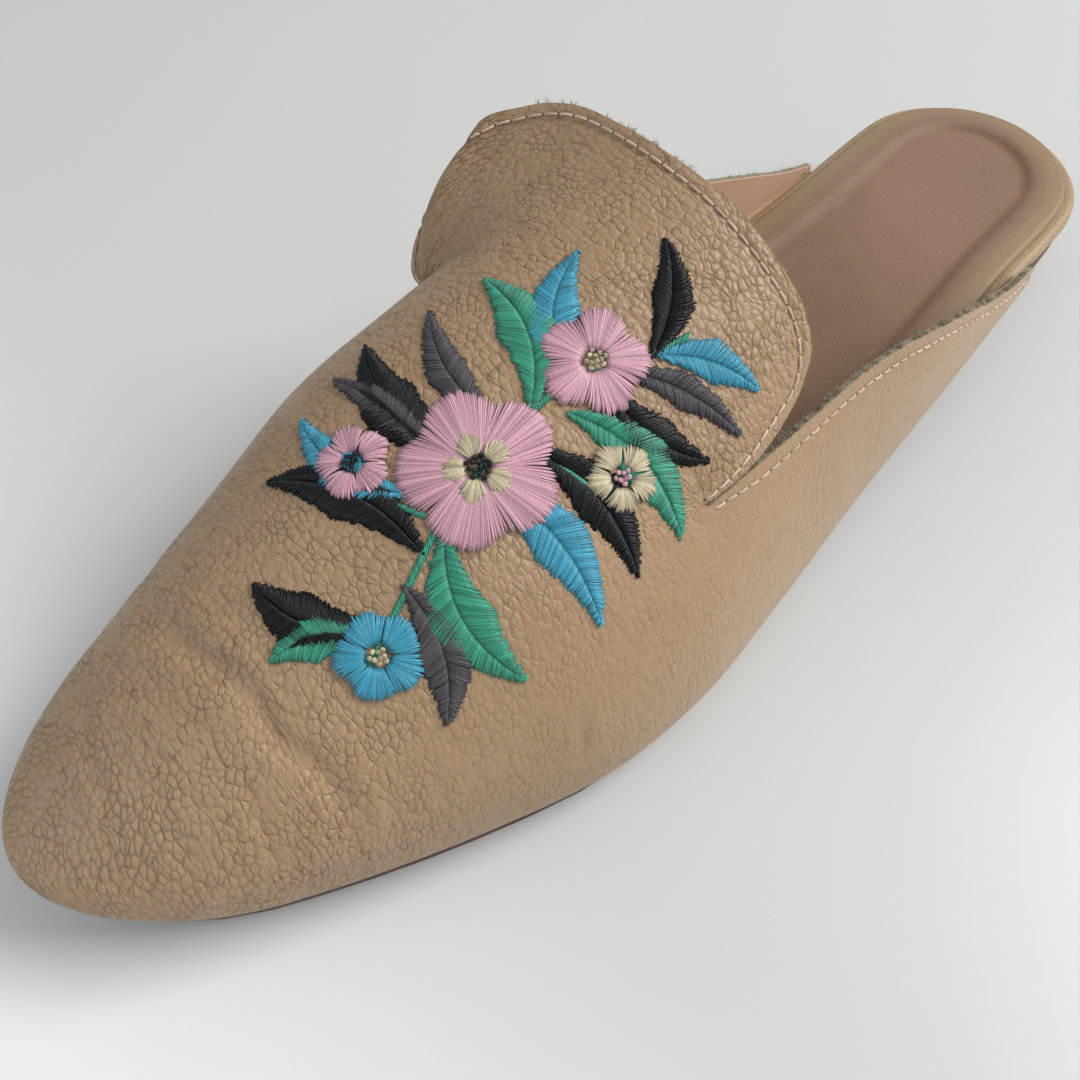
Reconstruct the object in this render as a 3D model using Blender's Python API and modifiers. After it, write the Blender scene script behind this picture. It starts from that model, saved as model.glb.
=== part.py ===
"""Backless clog for the left foot: one-piece leather upper with a rounded tongue, low quarters that taper back to
the footbed, a wrapped footbed with a padded sock lining, a thin outsole and a low stacked heel.

Toe at -Y, heel at +Y, outer side of the foot at +X, floor at Z = 0. Built in metres from sizes in millimetres.
"""

import math

import bmesh
import bpy

MM = 0.001

# Overall sizes
LENGTH = 271.2          # heel back to toe tip
TOE_CAP_START = 245.0   # station where the toe starts to round off
WALL = 1.6              # leather and lining together
GAP = 0.3               # bond line left between pieces

# Upper
NOTCH_STATION = 165.0   # bottom of the V between tongue and quarter
NOTCH_PART = 0.43       # how far up the side the notch lies, 0 widest line, 1 crown
QUARTER_END = 50.0      # rear cut end of each quarter
CURL = 3.5              # how far the lower edge is lasted in under the foot
# Free edge of the tongue, from the inner corner (-1) over the crown (0) to the outer corner (1).
# rise: how steeply the leather arrives at the edge, in degrees over the back direction.
# hold: how far it keeps the slope of the vamp before it turns that way, as a share of its run.
TONGUE_EDGE_COLUMNS = ("across", "x", "station", "z", "rise", "hold")
TONGUE_EDGE = (
    (-1.00, -35.8, 151.3, 60.6, 79.0, 0.45),
    (-0.88, -36.2, 148.5, 67.1, 64.0, 0.45),
    (-0.70, -31.3, 141.9, 70.1, 52.0, 0.55),
    (-0.48, -24.3, 137.3, 71.6, 42.0, 0.75),
    (-0.25, -14.6, 136.2, 71.9, 30.0, 0.95),
    (0.00, -3.6, 136.4, 71.6, 21.0, 1.00),
    (0.25, 7.2, 135.8, 69.2, 18.0, 1.00),
    (0.50, 17.2, 134.7, 63.3, 18.0, 1.00),
    (0.72, 24.6, 134.1, 56.2, 18.0, 1.00),
    (0.88, 28.3, 135.4, 50.2, 18.0, 1.00),
    (1.00, 29.9, 138.6, 45.3, 17.0, 1.00),
)
OUTER_SWELL = 2.0    # how far the tongue's outer side edge bows outwards
INNER_SWELL = 5.3    # how far its inner side edge bows outwards
INNER_LEAN = 6.5     # and towards the toe
ROLL_START = 0.85    # share of the inner half from which the leather rolls back
EDGE_ROLL = 2.3      # how far the inner side edge is rolled back
HEEL_SEAT = 11.0        # height of the heel, floor to outsole
HEEL_BREAST = 57.0      # front face of the heel
HEEL_TAPER = 3.6        # how far the heel draws in towards the floor
TOP_PIECE = 3.0         # wearing layer under the heel
OUTSOLE = 3.0
BALL_REAR = 165.0       # the sole lies flat between these two stations
BALL_FRONT = 205.0
TOE_SPRING = 10.5
SEAT_FRONT = 56.0
HEEL_ROUND = 27.0       # plan radius of the heel

# The last: half widths at the widest line, heights and crown, by station from the heel back
LAST_COLUMNS = ("station", "inner", "outer", "wide_z", "crown_z", "crown_x", "inner_power", "outer_power")
LAST = (
    (0.0, 28.5, 26.7, 19.0, 95.0, -3.6, 2.00, 1.70),
    (30.0, 28.0, 30.0, 18.4, 93.0, -3.6, 2.00, 1.70),
    (60.0, 27.8, 33.6, 17.4, 90.0, -4.6, 2.00, 1.70),
    (90.0, 28.8, 36.8, 15.4, 84.0, -5.6, 2.00, 1.70),
    (120.0, 31.5, 39.6, 13.0, 76.0, -6.6, 2.10, 1.70),
    (150.0, 35.3, 43.3, 11.0, 67.3, -6.5, 2.18, 1.72),
    (175.0, 38.3, 45.7, 10.0, 60.4, -6.4, 2.23, 1.75),
    (195.0, 38.8, 44.0, 10.0, 54.5, -6.3, 2.26, 1.80),
    (215.0, 34.3, 37.8, 10.5, 46.3, -5.7, 2.26, 1.90),
    (235.0, 29.0, 30.2, 12.0, 37.8, -4.8, 2.26, 2.00),
    (250.0, 25.3, 23.9, 14.0, 31.2, -4.0, 2.24, 2.10),
    (262.0, 24.3, 19.9, 16.0, 26.2, -3.3, 2.23, 2.10),
)

# Height of each quarter's top edge, by station
QUARTER_COLUMNS = ("station", "inner_z", "outer_z")
QUARTER = (
    (48.0, 18.0, 22.0),
    (62.0, 22.2, 24.6),
    (74.0, 26.9, 28.2),
    (84.0, 30.8, 31.7),
    (98.0, 35.8, 35.8),
    (110.0, 38.6, 38.6),
    (122.0, 40.1, 40.1),
    (140.0, 40.5, 40.5),
    (165.0, 40.4, 40.4),
)

# Footbed: how far its rim lies in from the widest line, and its top height, by station
FOOTBED_COLUMNS = ("station", "inset", "top_z")
FOOTBED = (
    (0.0, 1.5, 19.9),
    (35.0, 1.7, 19.5),
    (55.0, 2.8, 19.1),
    (80.0, 3.0, 16.7),
    (110.0, 3.2, 12.9),
    (140.0, 3.3, 9.5),
    (165.0, 3.4, 8.2),
    (205.0, 3.4, 8.2),
    (235.0, 3.9, 10.6),
    (262.0, 4.4, 16.4),
)
FOOTBED_TOE = 265.2

# Sock lining with the raised heel pad
SOCK_INSET = 2.6
SOCK = 1.2
PAD_INSET = 8.0
PAD_SLOPE = 3.2
PAD_FRONT = 120.0
PAD_DEPTH = 0.75

OUTSOLE_INSET = 2.3
OUTSOLE_TOE = 269.0

VAMP_ROWS = 26
QUARTER_ROWS = 18
TONGUE_ROWS = 12
TONGUE_COLUMNS = 24
SIDE_COLUMNS = 4
CURL_COLUMNS = 4
PLATE_ROWS = 34

COLLECTION = "backless_clog"


def column(table, names, name):
    i = names.index(name)
    return [row[i] for row in table]


def through(xs, ys, x):
    """Smooth curve through a table, cubic between neighbours, straight-ended outside it."""
    slopes = [(ys[i + 1] - ys[i]) / (xs[i + 1] - xs[i]) for i in range(len(xs) - 1)]
    if x <= xs[0]:
        return ys[0] + slopes[0] * (x - xs[0])
    if x >= xs[-1]:
        return ys[-1] + slopes[-1] * (x - xs[-1])
    i = max(k for k in range(len(xs) - 1) if xs[k] <= x)
    tangents = [slopes[0]]
    for k in range(1, len(xs) - 1):
        before = xs[k] - xs[k - 1]
        after = xs[k + 1] - xs[k]
        tangents.append((slopes[k - 1] * after + slopes[k] * before) / (before + after))
    tangents.append(slopes[-1])
    h = xs[i + 1] - xs[i]
    t = (x - xs[i]) / h
    a = 2 * t**3 - 3 * t**2 + 1
    b = t**3 - 2 * t**2 + t
    c = -2 * t**3 + 3 * t**2
    d = t**3 - t**2
    return a * ys[i] + b * h * tangents[i] + c * ys[i + 1] + d * h * tangents[i + 1]


def last(name, station):
    return through(column(LAST, LAST_COLUMNS, "station"), column(LAST, LAST_COLUMNS, name), station)


def quarter_top(station, outer_side):
    xs = column(QUARTER, QUARTER_COLUMNS, "station")
    return through(xs, column(QUARTER, QUARTER_COLUMNS, "outer_z" if outer_side else "inner_z"), station)


def footbed(name, station):
    xs = column(FOOTBED, FOOTBED_COLUMNS, "station")
    return through(xs, column(FOOTBED, FOOTBED_COLUMNS, name), station)


def sole_bottom(station):
    """Floor side of the outsole: heel seat, shank, flat tread and toe spring."""
    back = min(max((BALL_REAR - station) / (BALL_REAR - SEAT_FRONT), 0.0), 1.0)
    front = max((station - BALL_FRONT) / (LENGTH - BALL_FRONT), 0.0)
    return HEEL_SEAT * back**2 * (3 - 2 * back) + TOE_SPRING * front**1.8


def feather_z(station):
    return sole_bottom(station) + OUTSOLE + GAP


def toe_cap(station, toe):
    q = min(max((station - TOE_CAP_START) / (toe - TOE_CAP_START), 0.0), 1.0)
    return math.sqrt(max(0.0, 1.0 - q * q))


def heel_round(station, back):
    q = min(max((HEEL_ROUND - (station - back)) / HEEL_ROUND, 0.0), 1.0)
    return math.sqrt(max(0.0, 1.0 - q**2.2))


def plan(station, inset=0.0, toe=LENGTH, back=None):
    """Inner and outer x of an outline that lies `inset` inside the widest line of the last."""
    inner = last("inner", station)
    outer = last("outer", station)
    mid = 0.5 * (outer - inner)
    half = (0.5 * (inner + outer) - inset) * toe_cap(station, toe)
    if back is not None:
        half *= heel_round(station, back)
    return mid - half, mid + half


def skin(station, part):
    """Outer skin of the upper. part: 0 outer widest line, 1 crown, 2 inner widest line."""
    inner_x, outer_x = plan(station)
    cap = toe_cap(station, LENGTH)
    wide_z = last("wide_z", station)
    crown_z = wide_z + (last("crown_z", station) - wide_z) * cap
    mid = 0.5 * (inner_x + outer_x)
    crown_x = mid + (last("crown_x", station) - 0.5 * (last("outer", station) - last("inner", station))) * cap
    outer_side = part <= 1.0
    angle = (part if outer_side else 2.0 - part) * math.pi / 2
    power = last("outer_power" if outer_side else "inner_power", station)
    edge_x = outer_x if outer_side else inner_x
    x = crown_x + (edge_x - crown_x) * max(math.cos(angle), 0.0) ** (2 / power)
    z = wide_z + (crown_z - wide_z) * max(math.sin(angle), 0.0) ** (2 / power)
    return x, station, z


def quarter_skin(station, share, outer_side):
    """Outer skin behind the notch. share: 0 at the widest line, 1 at the quarter's top edge."""
    power = last("outer_power" if outer_side else "inner_power", station)
    rise = math.sin(share * NOTCH_PART * math.pi / 2) / math.sin(NOTCH_PART * math.pi / 2)
    wide_z = last("wide_z", station)
    z = wide_z + (quarter_top(station, outer_side) - wide_z) * rise ** (2 / power)
    height = (z - wide_z) / (last("crown_z", station) - wide_z)
    inner_x, outer_x = plan(station)
    crown_x = last("crown_x", station)
    edge_x = outer_x if outer_side else inner_x
    x = crown_x + (edge_x - crown_x) * (1.0 - height**power) ** (1 / power)
    return x, station, z


def hermite(p, q, tp, tq, t):
    a = 2 * t**3 - 3 * t**2 + 1
    b = t**3 - 2 * t**2 + t
    c = -2 * t**3 + 3 * t**2
    d = t**3 - t**2
    return tuple(a * p[k] + b * tp[k] + c * q[k] + d * tq[k] for k in range(3))


def tongue_edge(name, across):
    return through(column(TONGUE_EDGE, TONGUE_EDGE_COLUMNS, "across"),
                   column(TONGUE_EDGE, TONGUE_EDGE_COLUMNS, name), across)


def tongue_skin(across, up):
    """Tongue from the line between the notches (up 0) to its free edge (up 1).
    across: 1 on the outer side, 0 on the crown, -1 on the inner side."""
    part = 1.0 - across * (1.0 - NOTCH_PART)
    foot = skin(NOTCH_STATION, part)
    ahead = skin(NOTCH_STATION + 2.0, part)
    edge = tuple(tongue_edge(name, across) for name in ("x", "station", "z"))
    run = math.dist(foot, edge)
    lean = [(foot[k] - ahead[k]) / math.dist(foot, ahead) for k in range(3)]
    start = [run * tongue_edge("hold", across) * v for v in lean]
    rise = math.radians(tongue_edge("rise", across))
    end = (0.0, -run * math.cos(rise), run * math.sin(rise))
    x, station, z = hermite(foot, edge, start, end, up)
    side = abs(across)
    bow = 4.0 * up * (1.0 - up) * side**3
    if across > 0:
        return x + OUTER_SWELL * bow, station, z
    turn = min(max((side - ROLL_START) / (1.0 - ROLL_START), 0.0), 1.0)
    roll = EDGE_ROLL * turn**2 * (3 - 2 * turn) * min(1.0, 2.5 * up)
    swell = INNER_SWELL * bow * (1.0 - up**6)
    return x - swell, station + INNER_LEAN * bow - 0.87 * roll, z - 0.45 * roll


def unit(v):
    n = math.hypot(*v)
    return [c / n for c in v]


def edge_normals(points, mate):
    """Inward plan normals along one side of an outline, whose ends meet the other side."""
    result = []
    for i, p in enumerate(points):
        before = points[i - 1] if i else mate[1]
        after = points[i + 1] if i + 1 < len(points) else mate[-2]
        tangent = (after[0] - before[0], after[1] - before[1])
        normal = unit((-tangent[1], tangent[0]))
        towards = (mate[i][0] - p[0], 0.0) if 0 < i < len(points) - 1 else (0.0, points[len(points) // 2][1] - p[1])
        if normal[0] * towards[0] + normal[1] * towards[1] < 0:
            normal = [-c for c in normal]
        result.append(normal)
    return result


def to_world(p):
    return ((p[0] - CENTRE_X) * MM, (LENGTH / 2 - p[1]) * MM, p[2] * MM)


def finish_mesh(name, bm, parent, material):
    bmesh.ops.remove_doubles(bm, verts=bm.verts, dist=0.00002)
    mesh = bpy.data.meshes.new(name)
    bm.to_mesh(mesh)
    bm.free()
    for polygon in mesh.polygons:
        polygon.use_smooth = True
    mesh.materials.append(material)
    obj = bpy.data.objects.new(name, mesh)
    parent.objects.link(obj)
    return obj


def material(name, colour, roughness):
    mat = bpy.data.materials.new(name)
    mat.use_nodes = True
    shader = mat.node_tree.nodes["Principled BSDF"]
    shader.inputs["Base Color"].default_value = (*colour, 1.0)
    shader.inputs["Roughness"].default_value = roughness
    mat.diffuse_color = (*colour, 1.0)
    return mat


def curl_points(station, outline, normal):
    """Lower edge of the upper, from the widest line round under the foot."""
    wide_z = last("wide_z", station)
    low_z = feather_z(station)
    points = []
    for k in range(1, CURL_COLUMNS + 1):
        angle = math.pi / 2 * k / CURL_COLUMNS
        inset = CURL * (1.0 - math.cos(angle))
        x = outline[0] + normal[0] * inset
        y = outline[1] + normal[1] * inset
        points.append((x, y, wide_z - (wide_z - low_z) * math.sin(angle)))
    return points


def grid_faces(bm, grid, flip):
    for i in range(len(grid) - 1):
        for j in range(len(grid[0]) - 1):
            loop = [grid[i][j], grid[i + 1][j], grid[i + 1][j + 1], grid[i][j + 1]]
            corners = []
            for v in loop:
                if all((v.co - w.co).length > 1e-7 for w in corners):
                    corners.append(v)
            if len(corners) > 2:
                bm.faces.new(reversed(corners) if flip else corners)


def build_upper(parent, mat):
    stations = []
    for i in range(VAMP_ROWS + 1):
        stations.append(LENGTH - (LENGTH - NOTCH_STATION) * (1.0 - i / VAMP_ROWS) ** 1.6)
    rear = [QUARTER_END + (NOTCH_STATION - QUARTER_END) * i / QUARTER_ROWS for i in range(QUARTER_ROWS)]
    run = rear + stations
    inner = [(plan(s)[0], s) for s in run]
    outer = [(plan(s)[1], s) for s in run]
    normals = {True: edge_normals(outer, inner), False: edge_normals(inner, outer)}
    normals[True][0] = [-1.0, 0.0]
    normals[False][0] = [1.0, 0.0]
    lines = {True: outer, False: inner}
    bm = bmesh.new()

    def vertex(p):
        return bm.verts.new(to_world(p))

    def side(row, outer_side):
        s = run[row]
        points = curl_points(s, lines[outer_side][row], normals[outer_side][row])[::-1]
        for j in range(SIDE_COLUMNS + 1):
            share = j / SIDE_COLUMNS
            if s < NOTCH_STATION:
                points.append(quarter_skin(s, share, outer_side))
            else:
                part = share * NOTCH_PART
                points.append(skin(s, part if outer_side else 2.0 - part))
        return points

    last_column = CURL_COLUMNS + SIDE_COLUMNS
    vamp = []
    for row in range(QUARTER_ROWS, len(run)):
        points = side(row, True)
        for j in range(1, TONGUE_COLUMNS):
            across = 1.0 - 2.0 * j / TONGUE_COLUMNS
            points.append(skin(run[row], 1.0 - across * (1.0 - NOTCH_PART)))
        points += side(row, False)[::-1]
        vamp.append([vertex(p) for p in points])
    grid_faces(bm, vamp, True)
    hinge = vamp[0]

    for outer_side in (True, False):
        strip = [[vertex(p) for p in side(row, outer_side)] for row in range(QUARTER_ROWS)]
        joined = hinge[: last_column + 1] if outer_side else hinge[::-1][: last_column + 1]
        grid_faces(bm, strip + [joined], outer_side)

    tongue = [hinge[last_column : last_column + TONGUE_COLUMNS + 1]]
    for i in range(1, TONGUE_ROWS + 1):
        row = []
        for j in range(TONGUE_COLUMNS + 1):
            row.append(vertex(tongue_skin(1.0 - 2.0 * j / TONGUE_COLUMNS, i / TONGUE_ROWS)))
        tongue.append(row)
    grid_faces(bm, tongue, False)

    obj = finish_mesh("upper", bm, parent, mat)
    shell = obj.modifiers.new("wall", "SOLIDIFY")
    shell.thickness = WALL * MM
    shell.offset = -1.0
    shell.use_even_offset = False
    shell.use_rim = True
    return obj


def plate_rows(back, toe):
    rows = []
    for i in range(8):
        rows.append(back + HEEL_ROUND * (1.0 - math.cos(math.pi / 2 * i / 8)))
    start = back + HEEL_ROUND
    for i in range(PLATE_ROWS - 8):
        v = i / (PLATE_ROWS - 9)
        rows.append(toe - (toe - start) * (1.0 - v) ** 1.5)
    return rows


def build_plate(name, parent, mat, stations, outline, profile, cover=None, columns=1):
    """Closed slab: edge profile (inset, height) from bottom to top, swept round an outline, with both faces filled."""
    inner = [(outline(s)[0], s) for s in stations]
    outer = [(outline(s)[1], s) for s in stations]
    lines = (outer, inner)
    normals = (edge_normals(outer, inner), edge_normals(inner, outer))
    bm = bmesh.new()
    sides = []
    for line, normal in zip(lines, normals):
        grid = []
        for i, s in enumerate(stations):
            row = []
            for inset, height in profile:
                x = line[i][0] + normal[i][0] * inset
                y = line[i][1] + normal[i][1] * inset
                row.append(bm.verts.new(to_world((x, y, height(y)))))
            grid.append(row)
        sides.append(grid)
    grid_faces(bm, sides[0], False)
    grid_faces(bm, sides[1], True)
    bottom = [[a[0], b[0]] for a, b in zip(*sides)]
    grid_faces(bm, bottom, True)
    top = []
    for i, s in enumerate(stations):
        a = sides[0][i][-1]
        b = sides[1][i][-1]
        row = [a]
        for j in range(1, columns):
            co = a.co.lerp(b.co, j / columns)
            if cover:
                co.z += cover(s, min(j, columns - j) / columns, (a.co - b.co).length / MM) * MM
            row.append(bm.verts.new(co))
        top.append(row + [b])
    grid_faces(bm, top, False)
    bmesh.ops.remove_doubles(bm, verts=bm.verts, dist=0.00002)
    bmesh.ops.recalc_face_normals(bm, faces=bm.faces)
    return finish_mesh(name, bm, parent, mat)


def raised(base, extra):
    return lambda s: base(s) + extra


def footbed_plan(station):
    return plan(station, footbed("inset", station), FOOTBED_TOE, 0.0)


def footbed_top(station):
    return footbed("top_z", station)


def footbed_low(station):
    return feather_z(station) + WALL + 0.6


def build_footbed(parent, mat):
    rows = plate_rows(0.0, FOOTBED_TOE)
    radius = 1.7
    profile = [(3.2, feather_z), (2.6, raised(feather_z, 1.2)), (0.4, footbed_low), (0.0, raised(footbed_low, 0.5))]
    for k in range(1, 5):
        angle = math.pi / 2 * k / 4
        inset = radius * (1.0 - math.cos(angle))
        drop = radius * (math.sin(angle) - 1.0)
        profile.append((inset, raised(footbed_top, drop)))
    profile.insert(4, (0.0, raised(footbed_top, -radius)))
    return build_plate("footbed", parent, mat, rows, footbed_plan, profile)


def pad_height(station, share, width):
    """Heel pad pressed a little into the sock; share runs from 0 at an edge to 0.5 in the middle."""
    edge = min(share * width, station - 3.0, PAD_FRONT - station + PAD_INSET)
    blend = min(max((edge - PAD_INSET) / PAD_SLOPE, 0.0), 1.0)
    fade = min(max((PAD_FRONT - station) / 25.0, 0.0), 1.0)
    return -PAD_DEPTH * blend**2 * (3 - 2 * blend) * fade


def build_sock(parent, mat):
    toe = FOOTBED_TOE - SOCK_INSET - 3.0
    rows = plate_rows(SOCK_INSET, toe)

    def outline(s):
        return plan(s, footbed("inset", s) + SOCK_INSET, toe, SOCK_INSET)

    low = raised(footbed_top, GAP)
    high = raised(footbed_top, GAP + SOCK)
    profile = [(0.0, low), (0.0, raised(low, SOCK * 0.5)), (0.4, high)]
    return build_plate("sock_lining", parent, mat, rows, outline, profile, pad_height, 14)


def build_outsole(parent, mat):
    rows = plate_rows(1.2, OUTSOLE_TOE)

    def outline(s):
        return plan(s, OUTSOLE_INSET, OUTSOLE_TOE, 1.2)

    high = raised(sole_bottom, OUTSOLE)
    profile = [(0.7, sole_bottom), (0.0, raised(sole_bottom, 0.7)), (0.0, raised(sole_bottom, 2.3)), (0.7, high)]
    return build_plate("outsole", parent, mat, rows, outline, profile)


def heel_loop(height, steps):
    """Plan outline of the heel at a height, closed, drawn in towards the floor."""
    draw = HEEL_TAPER * (1.0 - height / HEEL_SEAT)
    back = 2.0 + draw * 0.6
    inset = OUTSOLE_INSET + 0.8 + draw
    outer = []
    inner = []
    for i in range(steps + 1):
        turn = math.pi / 2 * i / steps
        s = back + (HEEL_BREAST - draw - back) * (1.0 - math.cos(turn))
        a, b = plan(s, inset, LENGTH, back)
        outer.append((b, s, height))
        inner.append((a, s, height))
    for i in range(1, 6):
        share = i / 6
        bow = 2.5 * math.sin(math.pi * share)
        x = outer[-1][0] + (inner[-1][0] - outer[-1][0]) * share
        outer.append((x, outer[steps][1] - bow, height))
    return outer + inner[1:][::-1]


def build_heel_part(name, parent, mat, low, high):
    bm = bmesh.new()
    heights = [low, low + 0.4, high - 0.4, high]
    loops = []
    for height in heights:
        pinch = 0.3 if height in (low, high) else 0.0
        loop = heel_loop(height, 12)
        cx = sum(p[0] for p in loop) / len(loop)
        cy = sum(p[1] for p in loop) / len(loop)
        ring = []
        for x, y, z in loop:
            reach = math.hypot(x - cx, y - cy)
            shrink = 1.0 - pinch / reach
            ring.append(bm.verts.new(to_world((cx + (x - cx) * shrink, cy + (y - cy) * shrink, z))))
        loops.append(ring)
    count = len(loops[0])
    for a, b in zip(loops, loops[1:]):
        for i in range(count):
            bm.faces.new((a[i], a[(i + 1) % count], b[(i + 1) % count], b[i]))
    bm.faces.new(loops[0][::-1])
    bm.faces.new(loops[-1])
    bmesh.ops.recalc_face_normals(bm, faces=bm.faces)
    return finish_mesh(name, bm, parent, mat)


for old in list(bpy.data.objects):
    bpy.data.objects.remove(old, do_unlink=True)

widths = [plan(s) for s in range(int(QUARTER_END), int(LENGTH))]
CENTRE_X = 0.5 * (min(w[0] for w in widths) + max(w[1] for w in widths))

group = bpy.data.collections.new(COLLECTION)
bpy.context.scene.collection.children.link(group)

build_upper(group, material("upper_leather", (0.42, 0.29, 0.19), 0.55))
build_footbed(group, material("rim_leather", (0.40, 0.29, 0.18), 0.5))
build_sock(group, material("sock_leather", (0.33, 0.20, 0.14), 0.55))
build_outsole(group, material("sole_leather", (0.16, 0.05, 0.03), 0.5))
heel = material("heel_stack", (0.14, 0.07, 0.04), 0.5)
build_heel_part("heel_block", group, heel, TOP_PIECE + GAP, HEEL_SEAT - GAP)
build_heel_part("heel_top_piece", group, material("heel_rubber", (0.05, 0.035, 0.03), 0.7), 0.0, TOP_PIECE)
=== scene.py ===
"""Looks for the backless clog: creased and grained leather upper with raw fuzzy edges, topstitching,
a stitched sprig in satin threads, wrapped footbed rim, dished sock lining, leather sole and stacked heel."""

import math
import random

import bmesh
import bpy
import numpy as np
from mathutils import Matrix, Vector, noise
from mathutils.bvhtree import BVHTree


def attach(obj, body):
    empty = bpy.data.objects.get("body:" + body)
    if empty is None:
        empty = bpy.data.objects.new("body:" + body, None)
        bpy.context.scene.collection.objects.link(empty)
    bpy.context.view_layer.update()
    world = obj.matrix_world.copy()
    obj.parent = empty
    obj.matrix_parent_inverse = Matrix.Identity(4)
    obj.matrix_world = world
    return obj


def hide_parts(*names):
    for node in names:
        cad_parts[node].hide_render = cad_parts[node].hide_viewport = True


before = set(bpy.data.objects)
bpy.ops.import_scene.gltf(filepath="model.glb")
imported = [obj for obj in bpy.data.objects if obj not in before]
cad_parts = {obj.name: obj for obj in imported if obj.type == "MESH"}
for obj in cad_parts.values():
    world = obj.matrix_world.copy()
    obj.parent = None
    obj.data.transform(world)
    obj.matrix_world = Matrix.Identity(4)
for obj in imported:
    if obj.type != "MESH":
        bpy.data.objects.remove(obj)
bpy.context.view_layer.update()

MM = 0.001

# The shoe's own sizes in millimetres, as in part.py. LAST and TONGUE_EDGE are for the most part rounded
# results of a fit to the shoe's outline.
LENGTH = 271.2
TOE_CAP_START = 245.0
WALL = 1.6
GAP = 0.3
NOTCH_STATION = 165.0
NOTCH_PART = 0.43
QUARTER_END = 50.0
CURL = 3.5
# Free edge of the tongue, from the inner corner (-1) over the crown (0) to the outer corner (1).
# rise: how steeply the leather arrives at the edge, in degrees over the back direction.
# hold: how far it keeps the slope of the vamp before it turns that way, as a share of its run.
TONGUE_EDGE_COLUMNS = ("across", "x", "station", "z", "rise", "hold")
TONGUE_EDGE = (
    (-1.00, -35.8, 151.3, 60.6, 79.0, 0.45),
    (-0.88, -36.2, 148.5, 67.1, 64.0, 0.45),
    (-0.70, -31.3, 141.9, 70.1, 52.0, 0.55),
    (-0.48, -24.3, 137.3, 71.6, 42.0, 0.75),
    (-0.25, -14.6, 136.2, 71.9, 30.0, 0.95),
    (0.00, -3.6, 136.4, 71.6, 21.0, 1.00),
    (0.25, 7.2, 135.8, 69.2, 18.0, 1.00),
    (0.50, 17.2, 134.7, 63.3, 18.0, 1.00),
    (0.72, 24.6, 134.1, 56.2, 18.0, 1.00),
    (0.88, 28.3, 135.4, 50.2, 18.0, 1.00),
    (1.00, 29.9, 138.6, 45.3, 17.0, 1.00),
)
OUTER_SWELL = 2.0    # how far the tongue's outer side edge bows outwards
INNER_SWELL = 5.3    # how far its inner side edge bows outwards
INNER_LEAN = 6.5     # and towards the toe
ROLL_START = 0.85    # share of the inner half from which the leather rolls back
EDGE_ROLL = 2.3      # how far the inner side edge is rolled back
HEEL_SEAT = 11.0
OUTSOLE = 3.0
BALL_REAR = 165.0
BALL_FRONT = 205.0
TOE_SPRING = 10.5
SEAT_FRONT = 56.0
HEEL_ROUND = 27.0
FOOTBED_TOE = 265.2
SOCK_INSET = 2.6
SOCK = 1.2

LAST_COLUMNS = ("station", "inner", "outer", "wide_z", "crown_z", "crown_x", "inner_power", "outer_power")
LAST = (
    (0.0, 28.5, 26.7, 19.0, 95.0, -3.6, 2.00, 1.70),
    (30.0, 28.0, 30.0, 18.4, 93.0, -3.6, 2.00, 1.70),
    (60.0, 27.8, 33.6, 17.4, 90.0, -4.6, 2.00, 1.70),
    (90.0, 28.8, 36.8, 15.4, 84.0, -5.6, 2.00, 1.70),
    (120.0, 31.5, 39.6, 13.0, 76.0, -6.6, 2.10, 1.70),
    (150.0, 35.3, 43.3, 11.0, 67.3, -6.5, 2.18, 1.72),
    (175.0, 38.3, 45.7, 10.0, 60.4, -6.4, 2.23, 1.75),
    (195.0, 38.8, 44.0, 10.0, 54.5, -6.3, 2.26, 1.80),
    (215.0, 34.3, 37.8, 10.5, 46.3, -5.7, 2.26, 1.90),
    (235.0, 29.0, 30.2, 12.0, 37.8, -4.8, 2.26, 2.00),
    (250.0, 25.3, 23.9, 14.0, 31.2, -4.0, 2.24, 2.10),
    (262.0, 24.3, 19.9, 16.0, 26.2, -3.3, 2.23, 2.10),
)
QUARTER_COLUMNS = ("station", "inner_z", "outer_z")
QUARTER = (
    (48.0, 18.0, 22.0),
    (62.0, 22.2, 24.6),
    (74.0, 26.9, 28.2),
    (84.0, 30.8, 31.7),
    (98.0, 35.8, 35.8),
    (110.0, 38.6, 38.6),
    (122.0, 40.1, 40.1),
    (140.0, 40.5, 40.5),
    (165.0, 40.4, 40.4),
)
FOOTBED_COLUMNS = ("station", "inset", "top_z")
FOOTBED = (
    (0.0, 1.5, 19.9),
    (35.0, 1.7, 19.5),
    (55.0, 2.8, 19.1),
    (80.0, 3.0, 16.7),
    (110.0, 3.2, 12.9),
    (140.0, 3.3, 9.5),
    (165.0, 3.4, 8.2),
    (205.0, 3.4, 8.2),
    (235.0, 3.9, 10.6),
    (262.0, 4.4, 16.4),
)

# Fine division of the leather
CAP_ROWS = 44
VAMP_ROWS = 92
QUARTER_ROWS = 120
TONGUE_ROWS = 72
TONGUE_COLUMNS = 116
SIDE_COLUMNS = 26
CURL_COLUMNS = 8

# Region of each point of the leather
ON_VAMP = 0.0
ON_QUARTER = 1.0
ON_TONGUE = 2.0

# Dished heel area of the sock lining
DISH_INSET = 8.0
DISH_SLOPE = 3.2
DISH_DEPTH = 0.95
DISH_FRONT = 120.0

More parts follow.
